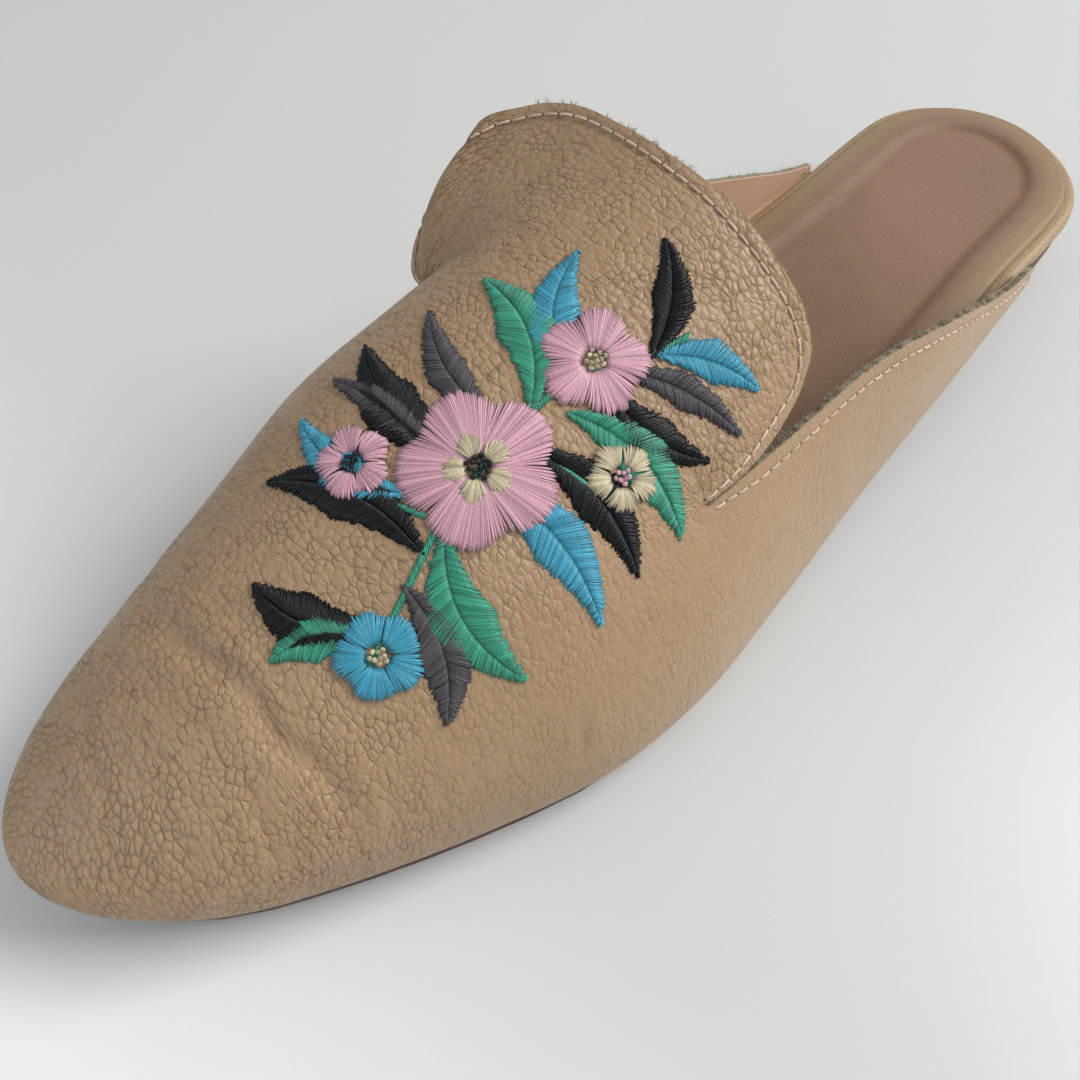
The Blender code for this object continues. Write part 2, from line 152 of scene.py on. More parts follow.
# Creases: name, half width, depth, then (station, part) points on the skin. Part is 0 at the outer widest
# line, 1 on the crown and 2 at the inner widest line. The points are places along creases seen in the photo,
# worked out by a scratch script and rounded: see report.md.
CREASES = (
    ("flex", 2.7, 0.72,
     ((237, 1.18), (235, 0.93), (233.5, 0.77), (234.3, 0.64), (233, 0.52), (232.6, 0.40), (234, 0.28))),
    ("flex_back", 1.6, 0.22, ((229, 1.10), (228, 0.88), (229.5, 0.70), (231, 0.56))),
    ("toe_ring", 1.4, 0.26, ((247, 1.46), (250.5, 1.22), (254.5, 1.04), (256, 0.90), (258, 0.72))),
    ("toe_side", 1.3, 0.28, ((250, 0.78), (252, 0.64), (252.4, 0.52), (253, 0.30))),
    ("toe_inner", 1.3, 0.30, ((243, 1.60), (246, 1.38), (248, 1.20))),
    ("side_1", 1.3, 0.30, ((241, 0.62), (242.5, 0.46), (243.5, 0.26))),
    ("side_2", 1.2, 0.26, ((247, 0.50), (248.4, 0.34), (249.5, 0.18))),
    ("side_3", 1.2, 0.26, ((257.5, 0.52), (259, 0.36), (260, 0.20))),
    ("side_4", 1.3, 0.26, ((226, 0.42), (227.5, 0.28), (229.5, 0.14))),
    ("side_5", 1.1, 0.20, ((219, 0.34), (221, 0.22), (222.5, 0.12))),
    ("ball", 1.1, 0.45, ((198, 0.27), (198.6, 0.22), (199.6, 0.17), (201.5, 0.12))),
    ("ball_back", 1.0, 0.22, ((191, 0.24), (192.6, 0.17), (194, 0.11))),
    ("inner_flex", 2.0, 0.28, ((231, 1.62), (233.5, 1.40), (236.5, 1.22))),
)

random.seed(11)


# ---------------------------------------------------------------- shape of the shoe

def hermite_weights(t):
    return 2 * t**3 - 3 * t**2 + 1, t**3 - 2 * t**2 + t, -2 * t**3 + 3 * t**2, t**3 - t**2


def through(xs, ys, x):
    """Smooth curve through a table, cubic between neighbours, straight-ended outside it."""
    slopes = [(ys[i + 1] - ys[i]) / (xs[i + 1] - xs[i]) for i in range(len(xs) - 1)]
    if x <= xs[0]:
        return ys[0] + slopes[0] * (x - xs[0])
    if x >= xs[-1]:
        return ys[-1] + slopes[-1] * (x - xs[-1])
    i = max(k for k in range(len(xs) - 1) if xs[k] <= x)
    tangents = [slopes[0]]
    for k in range(1, len(xs) - 1):
        before = xs[k] - xs[k - 1]
        after = xs[k + 1] - xs[k]
        tangents.append((slopes[k - 1] * after + slopes[k] * before) / (before + after))
    tangents.append(slopes[-1])
    h = xs[i + 1] - xs[i]
    a, b, c, d = hermite_weights((x - xs[i]) / h)
    return a * ys[i] + b * h * tangents[i] + c * ys[i + 1] + d * h * tangents[i + 1]


def look_up(rows, names, name, at):
    """A named column of a table, read smoothly at a place in its first column."""
    i = names.index(name)
    return through([row[0] for row in rows], [row[i] for row in rows], at)


known = {}


def last(name, station):
    key = (name, station)
    if key not in known:
        known[key] = look_up(LAST, LAST_COLUMNS, name, station)
    return known[key]


def quarter_top(station, outer_side):
    return look_up(QUARTER, QUARTER_COLUMNS, "outer_z" if outer_side else "inner_z", station)


def footbed(name, station):
    return look_up(FOOTBED, FOOTBED_COLUMNS, name, station)


def sole_bottom(station):
    back = min(max((BALL_REAR - station) / (BALL_REAR - SEAT_FRONT), 0.0), 1.0)
    front = max((station - BALL_FRONT) / (LENGTH - BALL_FRONT), 0.0)
    return HEEL_SEAT * back**2 * (3 - 2 * back) + TOE_SPRING * front**1.8


def feather_z(station):
    return sole_bottom(station) + OUTSOLE + GAP


def toe_cap(station, toe):
    q = min(max((station - TOE_CAP_START) / (toe - TOE_CAP_START), 0.0), 1.0)
    return math.sqrt(max(0.0, 1.0 - q * q))


def heel_round(station, back):
    q = min(max((HEEL_ROUND - (station - back)) / HEEL_ROUND, 0.0), 1.0)
    return math.sqrt(max(0.0, 1.0 - q**2.2))


def plan(station, inset=0.0, toe=LENGTH, back=None):
    inner = last("inner", station)
    outer = last("outer", station)
    mid = 0.5 * (outer - inner)
    half = (0.5 * (inner + outer) - inset) * toe_cap(station, toe)
    if back is not None:
        half *= heel_round(station, back)
    return mid - half, mid + half


def skin(station, part):
    """Outer skin of the upper. part: 0 outer widest line, 1 crown, 2 inner widest line."""
    inner_x, outer_x = plan(station)
    cap = toe_cap(station, LENGTH)
    wide_z = last("wide_z", station)
    crown_z = wide_z + (last("crown_z", station) - wide_z) * cap
    mid = 0.5 * (inner_x + outer_x)
    crown_x = mid + (last("crown_x", station) - 0.5 * (last("outer", station) - last("inner", station))) * cap
    outer_side = part <= 1.0
    angle = (part if outer_side else 2.0 - part) * math.pi / 2
    power = last("outer_power" if outer_side else "inner_power", station)
    edge_x = outer_x if outer_side else inner_x
    x = crown_x + (edge_x - crown_x) * max(math.cos(angle), 0.0) ** (2 / power)
    z = wide_z + (crown_z - wide_z) * max(math.sin(angle), 0.0) ** (2 / power)
    return x, station, z


def quarter_skin(station, share, outer_side):
    """Outer skin behind the notch. share: 0 at the widest line, 1 at the quarter's top edge."""
    power = last("outer_power" if outer_side else "inner_power", station)
    rise = math.sin(share * NOTCH_PART * math.pi / 2) / math.sin(NOTCH_PART * math.pi / 2)
    wide_z = last("wide_z", station)
    z = wide_z + (quarter_top(station, outer_side) - wide_z) * rise ** (2 / power)
    height = (z - wide_z) / (last("crown_z", station) - wide_z)
    inner_x, outer_x = plan(station)
    crown_x = last("crown_x", station)
    edge_x = outer_x if outer_side else inner_x
    x = crown_x + (edge_x - crown_x) * (1.0 - height**power) ** (1 / power)
    return x, station, z


def hermite(p, q, tp, tq, t):
    a, b, c, d = hermite_weights(t)
    return tuple(a * p[k] + b * tp[k] + c * q[k] + d * tq[k] for k in range(3))


def tongue_edge(name, across):
    return look_up(TONGUE_EDGE, TONGUE_EDGE_COLUMNS, name, across)


def tongue_skin(across, up):
    """Tongue from the line between the notches (up 0) to its free edge (up 1).
    across: 1 on the outer side, 0 on the crown, -1 on the inner side."""
    part = 1.0 - across * (1.0 - NOTCH_PART)
    foot = skin(NOTCH_STATION, part)
    ahead = skin(NOTCH_STATION + 2.0, part)
    edge = tuple(tongue_edge(name, across) for name in ("x", "station", "z"))
    run = math.dist(foot, edge)
    lean = [(foot[k] - ahead[k]) / math.dist(foot, ahead) for k in range(3)]
    start = [run * tongue_edge("hold", across) * v for v in lean]
    rise = math.radians(tongue_edge("rise", across))
    end = (0.0, -run * math.cos(rise), run * math.sin(rise))
    x, station, z = hermite(foot, edge, start, end, up)
    side = abs(across)
    bow = 4.0 * up * (1.0 - up) * side**3
    if across > 0:
        return x + OUTER_SWELL * bow, station, z
    turn = min(max((side - ROLL_START) / (1.0 - ROLL_START), 0.0), 1.0)
    roll = EDGE_ROLL * turn**2 * (3 - 2 * turn) * min(1.0, 2.5 * up)
    swell = INNER_SWELL * bow * (1.0 - up**6)
    return x - swell, station + INNER_LEAN * bow - 0.87 * roll, z - 0.45 * roll


def unit(v):
    n = math.hypot(*v)
    return [c / n for c in v]


def edge_normals(points, mate):
    result = []
    for i, p in enumerate(points):
        before = points[i - 1] if i else mate[1]
        after = points[i + 1] if i + 1 < len(points) else mate[-2]
        tangent = (after[0] - before[0], after[1] - before[1])
        normal = unit((-tangent[1], tangent[0]))
        towards = (mate[i][0] - p[0], 0.0)
        if i in (0, len(points) - 1):
            towards = (0.0, points[len(points) // 2][1] - p[1])
        if normal[0] * towards[0] + normal[1] * towards[1] < 0:
            normal = [-c for c in normal]
        result.append(normal)
    return result


widths = [plan(s) for s in range(int(QUARTER_END), int(LENGTH))]
CENTRE_X = 0.5 * (min(w[0] for w in widths) + max(w[1] for w in widths))


def to_world(p):
    return Vector(((p[0] - CENTRE_X) * MM, (LENGTH / 2 - p[1]) * MM, p[2] * MM))


def curl_points(station, outline, normal):
    wide_z = last("wide_z", station)
    low_z = feather_z(station)
    points = []
    for k in range(1, CURL_COLUMNS + 1):
        angle = math.pi / 2 * k / CURL_COLUMNS
        inset = CURL * (1.0 - math.cos(angle))
        x = outline[0] + normal[0] * inset
        y = outline[1] + normal[1] * inset
        points.append((x, y, wide_z - (wide_z - low_z) * math.sin(angle)))
    return points


# ---------------------------------------------------------------- helpers

def stand(name, mesh):
    """Puts a smooth-shaded mesh into the scene, on the shoe's only body."""
    mesh.polygons.foreach_set("use_smooth", np.full(len(mesh.polygons), True))
    obj = bpy.data.objects.new(name, mesh)
    bpy.context.scene.collection.objects.link(obj)
    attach(obj, "root")
    return obj


def add_piece(name, verts, faces, materials, indices=None):
    mesh = bpy.data.meshes.new(name)
    mesh.from_pydata([tuple(v) for v in verts], [], faces)
    for m in materials:
        mesh.materials.append(m)
    if indices is not None:
        mesh.polygons.foreach_set("material_index", np.asarray(indices, np.int32))
    mesh.update()
    return stand(name, mesh)


def grid_faces(bm, grid, flip):
    for i in range(len(grid) - 1):
        for j in range(len(grid[0]) - 1):
            loop = [grid[i][j], grid[i + 1][j], grid[i + 1][j + 1], grid[i][j + 1]]
            corners = []
            for v in loop:
                if all((v.co - w.co).length > 1e-7 for w in corners):
                    corners.append(v)
            if len(corners) > 2:
                bm.faces.new(reversed(corners) if flip else corners)


def smoothstep(a, b, x):
    t = np.clip((x - a) / (b - a), 0.0, 1.0)
    return t * t * (3 - 2 * t)


def resample(points, spacing):
    """Points every `spacing` along a polyline, and its length."""
    p = np.array(points, float)
    seg = np.linalg.norm(np.diff(p, axis=0), axis=1)
    along = np.concatenate([[0.0], np.cumsum(seg)])
    count = max(2, int(round(along[-1] / spacing)) + 1)
    at = np.linspace(0.0, along[-1], count)
    return np.stack([np.interp(at, along, p[:, k]) for k in range(3)], axis=1), along[-1]


# ---------------------------------------------------------------- node graphs

def rgba(colour):
    return (*colour, 1.0) if isinstance(colour, tuple) else colour


class Graph:
    """Adds shader nodes to a new material. An input is a socket to link, or a value to set."""

    def __init__(self, name, viewport):
        self.mat = bpy.data.materials.new(name)
        self.mat.use_nodes = True
        self.mat.diffuse_color = (*viewport, 1.0)
        self.tree = self.mat.node_tree
        self.shader = self.tree.nodes["Principled BSDF"]
        self.coords = self.tree.nodes.new("ShaderNodeTexCoord").outputs["Object"]

    def put(self, socket, value):
        if hasattr(value, "is_linked"):
            self.tree.links.new(value, socket)
        elif value is not None:
            socket.default_value = value

    def node(self, kind, inputs, **settings):
        """Adds a node and gives its outputs. Inputs go by name or number."""
        node = self.tree.nodes.new("ShaderNode" + kind)
        for key, value in settings.items():
            setattr(node, key, value)
        for key, value in inputs.items():
            self.put(node.inputs[key], value)
        return node.outputs

    def math(self, op, a, b=None, clamp=False):
        return self.node("Math", {0: a, 1: b}, operation=op, use_clamp=clamp)[0]

    def add(self, a, b):
        return self.math("ADD", a, b)

    def sub(self, a, b):
        return self.math("SUBTRACT", a, b)

    def mul(self, a, b):
        return self.math("MULTIPLY", a, b)

    def vector(self, op, a, b):
        return self.node("VectorMath", {0: a, "Scale" if op == "SCALE" else 1: b}, operation=op)[0]

    def noise(self, scale, detail, vector=None, colour=False):
        inputs = {"Scale": scale, "Detail": detail, "Roughness": 0.5}
        inputs["Vector"] = self.coords if vector is None else vector
        return self.node("TexNoise", inputs)["Color" if colour else "Fac"]

    def cells(self, scale, vector=None, randomness=1.0, feature="DISTANCE_TO_EDGE", dimensions="3D"):
        inputs = {"Scale": scale, "Randomness": randomness}
        inputs["Vector"] = self.coords if vector is None else vector
        return self.node("TexVoronoi", inputs, voronoi_dimensions=dimensions, feature=feature)["Distance"]

    def band(self, value, a, b, to_a=0.0, to_b=1.0):
        """Smooth step of a value, from to_a where it is a, to to_b where it is b."""
        inputs = {"Value": value, "From Min": a, "From Max": b, "To Min": to_a, "To Max": to_b}
        return self.node("MapRange", inputs, interpolation_type="SMOOTHSTEP")["Result"]

    def ridge(self, value, width):
        """1 along the lines where a noise passes its middle, down to 0 at the width."""
        return self.band(self.math("ABSOLUTE", self.sub(value, 0.5)), 0.0, width, 1.0, 0.0)

    def dome(self, scale, vector):
        """Rises from the middle of each pebble, 0, to its corners, 1."""
        middle = self.cells(scale, vector, 0.95, "F1", "2D")
        return self.math("POWER", self.math("DIVIDE", middle, 0.74, clamp=True), 2.0)

    def streaks(self, detail, scales, vector=None):
        """Noise drawn out by a different scale along each axis."""
        base = self.coords if vector is None else vector
        return self.noise(1.0, detail, self.vector("MULTIPLY", base, scales))

    def mix(self, share, a, b):
        return self.node("Mix", {"Factor": share, 6: rgba(a), 7: rgba(b)}, data_type="RGBA")[2]

    def attribute(self, name, vector=False):
        return self.node("Attribute", {}, attribute_name=name)["Vector" if vector else "Fac"]

    def wobble(self, amount, scale, detail=2.0, vector=None):
        """Coordinates pushed about by noise, amount in metres."""
        base = self.coords if vector is None else vector
        shift = self.vector("SUBTRACT", self.noise(scale, detail, base, colour=True), (0.5, 0.5, 0.5))
        return self.vector("ADD", base, self.vector("SCALE", shift, amount))

    def bump(self, height, distance):
        """Relief; the distance is its depth in metres where the height changes by 1."""
        bump = self.node("Bump", {"Strength": 1.0, "Distance": distance, "Height": height})
        self.put(self.shader.inputs["Normal"], bump["Normal"])

    def finish(self, colour, roughness, specular=0.5, sheen=0.0, sheen_tint=(1.0, 1.0, 1.0)):
        inputs = {"Base Color": rgba(colour), "Roughness": roughness, "Specular IOR Level": specular}
        inputs.update({"Sheen Weight": sheen, "Sheen Tint": rgba(sheen_tint)})
        for key, value in inputs.items():
            self.put(self.shader.inputs[key], value)
        return self.mat


def leather_outer():
    """Tumbled cow leather: puffy pebbles of two sizes laid out over the skin, lines that deepen some of
    their borders, and wrinkles on the toe's sides, along the flex crease and round the notches."""
    g = Graph("tumbled_leather", (0.40, 0.26, 0.16))
    amount = g.attribute("grain")
    flat = g.attribute("flat", vector=True)
    flow = g.wobble(0.0042, 48.0, 1.0, flat)
    # pebbles and their borders
    skin_map = g.wobble(0.00030, 1500.0, 2.0, g.wobble(0.0010, 330.0, 2.0, flow))
    skin_map = g.vector("MULTIPLY", skin_map, (0.86, 1.10, 1.0))
    dome = g.dome(740.0, skin_map)
    seam = g.band(g.cells(740.0, skin_map, 0.95, "DISTANCE_TO_EDGE", "2D"), 0.0, 0.19, 1.0, 0.0)
    small_dome = g.dome(1350.0, g.wobble(0.0005, 700.0, 1.0, flow))
    patch = g.band(g.noise(130.0, 2.0), 0.44, 0.60, 0.08, 0.24)
    depth = g.band(g.noise(160.0, 1.0), 0.32, 0.64, 0.48, 1.0)
    # lines that wander over the pebbles
    meander = g.ridge(g.noise(64.0, 2.0, flat), 0.050)
    aside = g.vector("ADD", flat, (0.7, 0.2, 0.4))
    meander = g.math("MAXIMUM", meander, g.ridge(g.noise(92.0, 2.0, aside), 0.036))
    lines = g.ridge(g.streaks(2.0, (55.0, 150.0, 1.0), g.wobble(0.0016, 260.0, 2.0, flow)), 0.020)
    crinkle = g.mul(g.ridge(g.noise(430.0, 3.0, flow), 0.030), g.band(g.noise(210.0, 1.0), 0.42, 0.62))
    pore = g.noise(1700.0, 3.0)
    wrinkle = g.ridge(g.streaks(1.5, (80.0, 360.0, 1.0), g.wobble(0.004, 90.0, 3.0, flat)), 0.09)
    stray = g.vector("SUBTRACT", g.noise(230.0, 2.0, flat, colour=True), (0.5, 0.5, 0.5))
    fan_map = g.vector("ADD", g.attribute("fan_map", vector=True), g.vector("SCALE", stray, 1.7))
    rays = g.mul(g.ridge(g.noise(1.0, 2.0, fan_map), 0.075), g.attribute("fan"))
    # all grooves together
    grooves = g.mul(g.add(g.mul(dome, 0.74), g.mul(seam, 0.07)), depth)
    grooves = g.add(grooves, g.mul(small_dome, patch))
    grooves = g.add(grooves, g.mul(g.mul(seam, meander), 0.30))
    grooves = g.add(grooves, g.add(g.mul(crinkle, 0.12), g.mul(lines, 0.30)))
    grooves = g.mul(grooves, amount)
    folds = g.mul(wrinkle, g.attribute("wrinkle"))
    grooves = g.add(grooves, g.add(g.mul(folds, 0.26), g.mul(rays, 0.70)))
    g.bump(g.sub(g.mul(pore, 0.30), grooves), 0.00025)
    # colour: broad tones, pale specks as painted glints, and painted shade that darkens the grooves
    colour = g.mix(g.band(g.noise(26.0, 3.0), 0.35, 0.65), (0.346, 0.224, 0.126), (0.385, 0.256, 0.148))
    colour = g.mix(g.mul(g.noise(420.0, 2.0), 0.26), colour, (0.306, 0.196, 0.112))
    # painted highlight: pale specks that stand in for small glints on the grain
    colour = g.mix(g.band(g.noise(1500.0, 3.0), 0.52, 0.76, 0.0, 0.20), colour, (0.58, 0.42, 0.27))
    # painted shade: darker along pebble borders, wandering lines, crinkles, folds and notch fans, and towards
    # each pebble's corners
    line = g.mul(seam, g.add(g.mul(depth, 0.13), g.mul(meander, 0.20)))
    thin = g.add(g.mul(crinkle, 0.08), g.mul(lines, 0.18))
    shade = g.math("ADD", g.mul(g.add(line, thin), amount), g.mul(grooves, 0.13), clamp=True)
    colour = g.mix(shade, colour, (0.205, 0.108, 0.052))
    rough = g.add(0.37, g.mul(grooves, 0.24))
    return g.finish(colour, rough, specular=0.46, sheen=0.05, sheen_tint=(1.0, 0.93, 0.85))


def leather_lining():
    g = Graph("lining_leather", (0.42, 0.26, 0.19))
    fibre = g.noise(900.0, 3.0)
    colour = g.mix(g.noise(38.0, 3.0), (0.59, 0.375, 0.240), (0.50, 0.315, 0.200))
    colour = g.mix(g.mul(fibre, 0.3), colour, (0.30, 0.18, 0.125))
    g.bump(g.add(fibre, g.mul(g.noise(3200.0, 1.0), 0.4)), 0.00010)
    return g.finish(colour, 0.8, specular=0.25, sheen=0.25, sheen_tint=(1.0, 0.86, 0.78))


def leather_edge():
    """Raw cut edge, by depth through the wall: finish skin, grey-olive flesh, glue line, pinkish lining."""
    g = Graph("raw_edge", (0.24, 0.20, 0.14))
    layer = g.add(g.attribute("layer"), g.mul(g.sub(g.noise(700.0, 2.0), 0.5), 0.10))
    flesh = g.mix(g.noise(1600.0, 3.0), (0.175, 0.155, 0.108), (0.31, 0.27, 0.19))
    colour = g.mix(g.band(layer, 0.08, 0.16), (0.42, 0.29, 0.185), flesh)
    colour = g.mix(g.band(layer, 0.60, 0.66), colour, (0.13, 0.09, 0.065))
    colour = g.mix(g.band(layer, 0.70, 0.76), colour, (0.43, 0.29, 0.215))
    g.bump(g.noise(1900.0, 3.0), 0.00025)
    return g.finish(colour, 0.92, specular=0.15, sheen=0.35, sheen_tint=(0.9, 0.86, 0.74))


def rim_leather():
    """Wrapped rim of the footbed: finer grain, olive-tan, darker where it is rubbed."""
    g = Graph("rim_leather_fine", (0.40, 0.29, 0.18))
    cell = g.band(g.cells(820.0, g.wobble(0.0009, 420.0)), 0.0, 0.3)
    colour = g.mix(g.noise(45.0, 3.0), (0.43, 0.300, 0.172), (0.345, 0.245, 0.138))
    colour = g.mix(g.mul(g.sub(1.0, cell), 0.25), colour, (0.20, 0.13, 0.08))
    pull = g.streaks(2.0, (160.0, 160.0, 900.0), g.wobble(0.002, 90.0))
    g.bump(g.add(g.mul(cell, 0.5), g.mul(pull, 0.5)), 0.00012)
    return g.finish(colour, 0.5, specular=0.4)


def sock_leather():
    """Pinkish-brown sock leather with faint scuffs and a worn, darker foot area."""
    g = Graph("sock_leather_worn", (0.32, 0.20, 0.14))
    patch = g.noise(30.0, 4.0)
    colour = g.mix(g.band(patch, 0.3, 0.7), (0.262, 0.153, 0.096), (0.208, 0.120, 0.075))
    scuff = g.streaks(3.0, (420.0, 60.0, 60.0))
    colour = g.mix(g.band(scuff, 0.62, 0.80, 0.0, 0.35), colour, (0.40, 0.26, 0.19))
    colour = g.mix(g.band(g.attribute("edge"), 1.0, 7.0, 0.85, 0.0), colour, (0.285, 0.192, 0.110))
    # painted shade along the line where the dished heel area drops
    colour = g.mix(g.mul(g.attribute("groove_shade"), 0.55), colour, (0.17, 0.095, 0.065))
    cell = g.band(g.cells(1500.0), 0.0, 0.35)
    g.bump(g.add(g.mul(cell, 0.5), g.noise(900.0, 3.0)), 0.00006)
    rough = g.band(patch, 0.3, 0.7, 0.46, 0.60)
    return g.finish(colour, rough, specular=0.35, sheen=0.1, sheen_tint=(1.0, 0.85, 0.78))


def sole_leather():
    g = Graph("sole_leather_dyed_painted_shadow", (0.12, 0.035, 0.025))
    streak = g.streaks(3.0, (700.0, 60.0, 900.0))
    # dyed red-brown, made darker still as painted shadow so that the sole's edge reads as the shadow under
    # the shoe
    colour = g.mix(streak, (0.060, 0.020, 0.015), (0.105, 0.034, 0.023))
    scuff = g.band(g.noise(70.0, 5.0), 0.52, 0.72)
    colour = g.mix(g.mul(scuff, 0.35), colour, (0.17, 0.10, 0.07))
    g.bump(g.add(streak, g.noise(1500.0, 2.0)), 0.00008)
    return g.finish(colour, 0.5, specular=0.4)


def heel_layers():
    """Stacked leather: thin layers across the height, dark stained."""
    g = Graph("heel_stack_layers", (0.13, 0.06, 0.035))
    layers = g.streaks(1.0, (12.0, 12.0, 1500.0), g.wobble(0.0003, 60.0))
    line = g.ridge(layers, 0.06)
    colour = g.mix(layers, (0.155, 0.075, 0.042), (0.095, 0.042, 0.025))
    colour = g.mix(line, colour, (0.05, 0.022, 0.014))
    g.bump(g.add(g.sub(1.0, line), g.mul(g.noise(1200.0, 3.0), 0.5)), 0.00009)
    return g.finish(colour, 0.42, specular=0.45)


def heel_rubber():
    g = Graph("heel_rubber_worn", (0.045, 0.03, 0.027))
    worn = g.band(g.noise(90.0, 5.0), 0.45, 0.7)
    colour = g.mix(worn, (0.035, 0.024, 0.021), (0.085, 0.066, 0.058))
    g.bump(g.noise(1100.0, 4.0), 0.00012)
    return g.finish(colour, g.band(g.noise(60.0, 3.0), 0.3, 0.7, 0.6, 0.8), specular=0.3)


def thread(name, colour, roughness=0.42, specular=0.55, sheen=0.2):
    """Twisted embroidery thread: tone varies from stitch to stitch, with the ply as a fine twist."""
    g = Graph(name, colour)
    tone = g.attribute("tone")
    dark = tuple(c * 0.62 for c in colour)
    light = tuple(min(1.0, c * 1.28 + 0.004) for c in colour)
    mixed = g.mix(tone, dark, light)
    ply = g.noise(2300.0, 2.0)
    mixed = g.mix(g.mul(ply, 0.28), mixed, tuple(c * 0.55 for c in colour))
    g.bump(ply, 0.00009)
    return g.finish(mixed, roughness, specular=specular, sheen=sheen)


def plain(name, colour, roughness):
    g = Graph(name, colour)
    varied = g.mix(g.noise(900.0, 2.0), colour, tuple(c * 0.7 for c in colour))
    return g.finish(varied, roughness, specular=0.2)


def fuzz_material():
    g = Graph("edge_fibre", (0.30, 0.26, 0.18))
    colour = g.mix(g.attribute("tone"), (0.27, 0.235, 0.165), (0.52, 0.455, 0.335))
    colour = g.mix(g.mul(g.noise(500.0, 1.0), 0.3), colour, (0.15, 0.12, 0.08))
    return g.finish(colour, 0.9, specular=0.1, sheen=0.3)


# ---------------------------------------------------------------- leather upper

def row_lengths(grid, anchor):
    """Distance along each row of points from column `anchor`, signed."""
    steps = np.linalg.norm(np.diff(grid, axis=1), axis=2)
    along = np.concatenate([np.zeros((len(grid), 1)), np.cumsum(steps, axis=1)], axis=1)
    return along - along[:, anchor : anchor + 1]


def column_lengths(grid):
    steps = np.linalg.norm(np.diff(grid, axis=0), axis=2)
    return np.concatenate([np.zeros((1, grid.shape[1])), np.cumsum(steps, axis=0)], axis=0)


def build_skin():
    """Outer skin and its free edges. Layers: flat, lengths across and along, and place, which is station,
    part and region."""
    stations = [NOTCH_STATION + (TOE_CAP_START - NOTCH_STATION) * i / VAMP_ROWS for i in range(VAMP_ROWS)]
    for i in range(CAP_ROWS + 1):
        turn = math.pi / 2 * (i / CAP_ROWS) ** 0.92
        stations.append(TOE_CAP_START + (LENGTH - TOE_CAP_START) * math.sin(turn))
    rear = [QUARTER_END + (NOTCH_STATION - QUARTER_END) * i / QUARTER_ROWS for i in range(QUARTER_ROWS)]
    run = rear + stations
    inner = [(plan(s)[0], s) for s in run]
    outer = [(plan(s)[1], s) for s in run]
    normals = {True: edge_normals(outer, inner), False: edge_normals(inner, outer)}
    normals[True][0] = [-1.0, 0.0]
    normals[False][0] = [1.0, 0.0]
    lines = {True: outer, False: inner}
    bm = bmesh.new()
    flat = bm.verts.layers.float_vector.new("flat")
    place = bm.verts.layers.float_vector.new("place")

    def side(row, outer_side):
        s = run[row]
        points = curl_points(s, lines[outer_side][row], normals[outer_side][row])[::-1]
        marks = [-0.02 * k for k in range(CURL_COLUMNS, 0, -1)]
        for j in range(SIDE_COLUMNS + 1):
            share = j / SIDE_COLUMNS
            part = share * NOTCH_PART
            if s < NOTCH_STATION:
                points.append(quarter_skin(s, share, outer_side))
            else:
                points.append(skin(s, part if outer_side else 2.0 - part))
            marks.append(part)
        return points, [m if outer_side else 2.0 - m for m in marks]

    def make(points, marks, region, flats):
        row = []
        for p, m, f in zip(points, marks, flats):
            v = bm.verts.new(to_world(p))
            v[flat] = Vector((f[0] * MM, f[1] * MM, 0.0))
            v[place] = Vector((p[1], m, region))
            row.append(v)
        return row

    last_column = CURL_COLUMNS + SIDE_COLUMNS
    shares = [1.0 - 2.0 * j / TONGUE_COLUMNS for j in range(TONGUE_COLUMNS + 1)]
    middle_parts = [1.0 - share * (1.0 - NOTCH_PART) for share in shares]
    vamp_points = []
    vamp_marks = []
    for row in range(QUARTER_ROWS, len(run)):
        a, marks_a = side(row, True)
        b, marks_b = side(row, False)
        middle = [skin(run[row], part) for part in middle_parts[1:-1]]
        vamp_points.append(a + middle + b[::-1])
        vamp_marks.append(marks_a + middle_parts[1:-1] + marks_b[::-1])
    grid = np.array(vamp_points)
    centre = last_column + TONGUE_COLUMNS // 2
    across = row_lengths(grid, centre)
    along = column_lengths(grid)
    vamp = [make(vamp_points[r], vamp_marks[r], ON_VAMP, zip(across[r], along[r])) for r in range(len(grid))]
    grid_faces(bm, vamp, True)
    hinge = vamp[0]

    for outer_side in (True, False):
        rows = [side(row, outer_side) for row in range(QUARTER_ROWS)]
        joined = hinge[: last_column + 1] if outer_side else hinge[::-1][: last_column + 1]
        hinge_points = vamp_points[0] if outer_side else vamp_points[0][::-1]
        grid = np.array([r[0] for r in rows] + [hinge_points[: last_column + 1]])
        start = across[0][CURL_COLUMNS] if outer_side else across[0][::-1][CURL_COLUMNS]
        u = row_lengths(grid, CURL_COLUMNS)
        u = start + u if outer_side else start - u
        v = -(column_lengths(grid[::-1])[::-1])
        strip = [make(rows[r][0], rows[r][1], ON_QUARTER, zip(u[r], v[r])) for r in range(len(rows))]
        grid_faces(bm, strip + [joined], outer_side)

    ups = [i / TONGUE_ROWS for i in range(TONGUE_ROWS + 1)]
    tongue_points = [[tongue_skin(share, up) for share in shares] for up in ups]
    grid = np.array(tongue_points)
    u = row_lengths(grid, TONGUE_COLUMNS // 2)
    v = -column_lengths(grid)
    tongue = [hinge[last_column : last_column + TONGUE_COLUMNS + 1]]
    for i in range(1, TONGUE_ROWS + 1):
        tongue.append(make(tongue_points[i], middle_parts, ON_TONGUE, zip(u[i], v[i])))
    grid_faces(bm, tongue, False)
    bmesh.ops.remove_doubles(bm, verts=bm.verts, dist=0.000008)
    bm.verts.index_update()
    mesh = bpy.data.meshes.new("skin")
    bm.to_mesh(mesh)
    boundary = [(e.verts[0].index, e.verts[1].index) for e in bm.edges if len(e.link_faces) == 1]
    bm.free()
    return mesh, boundary


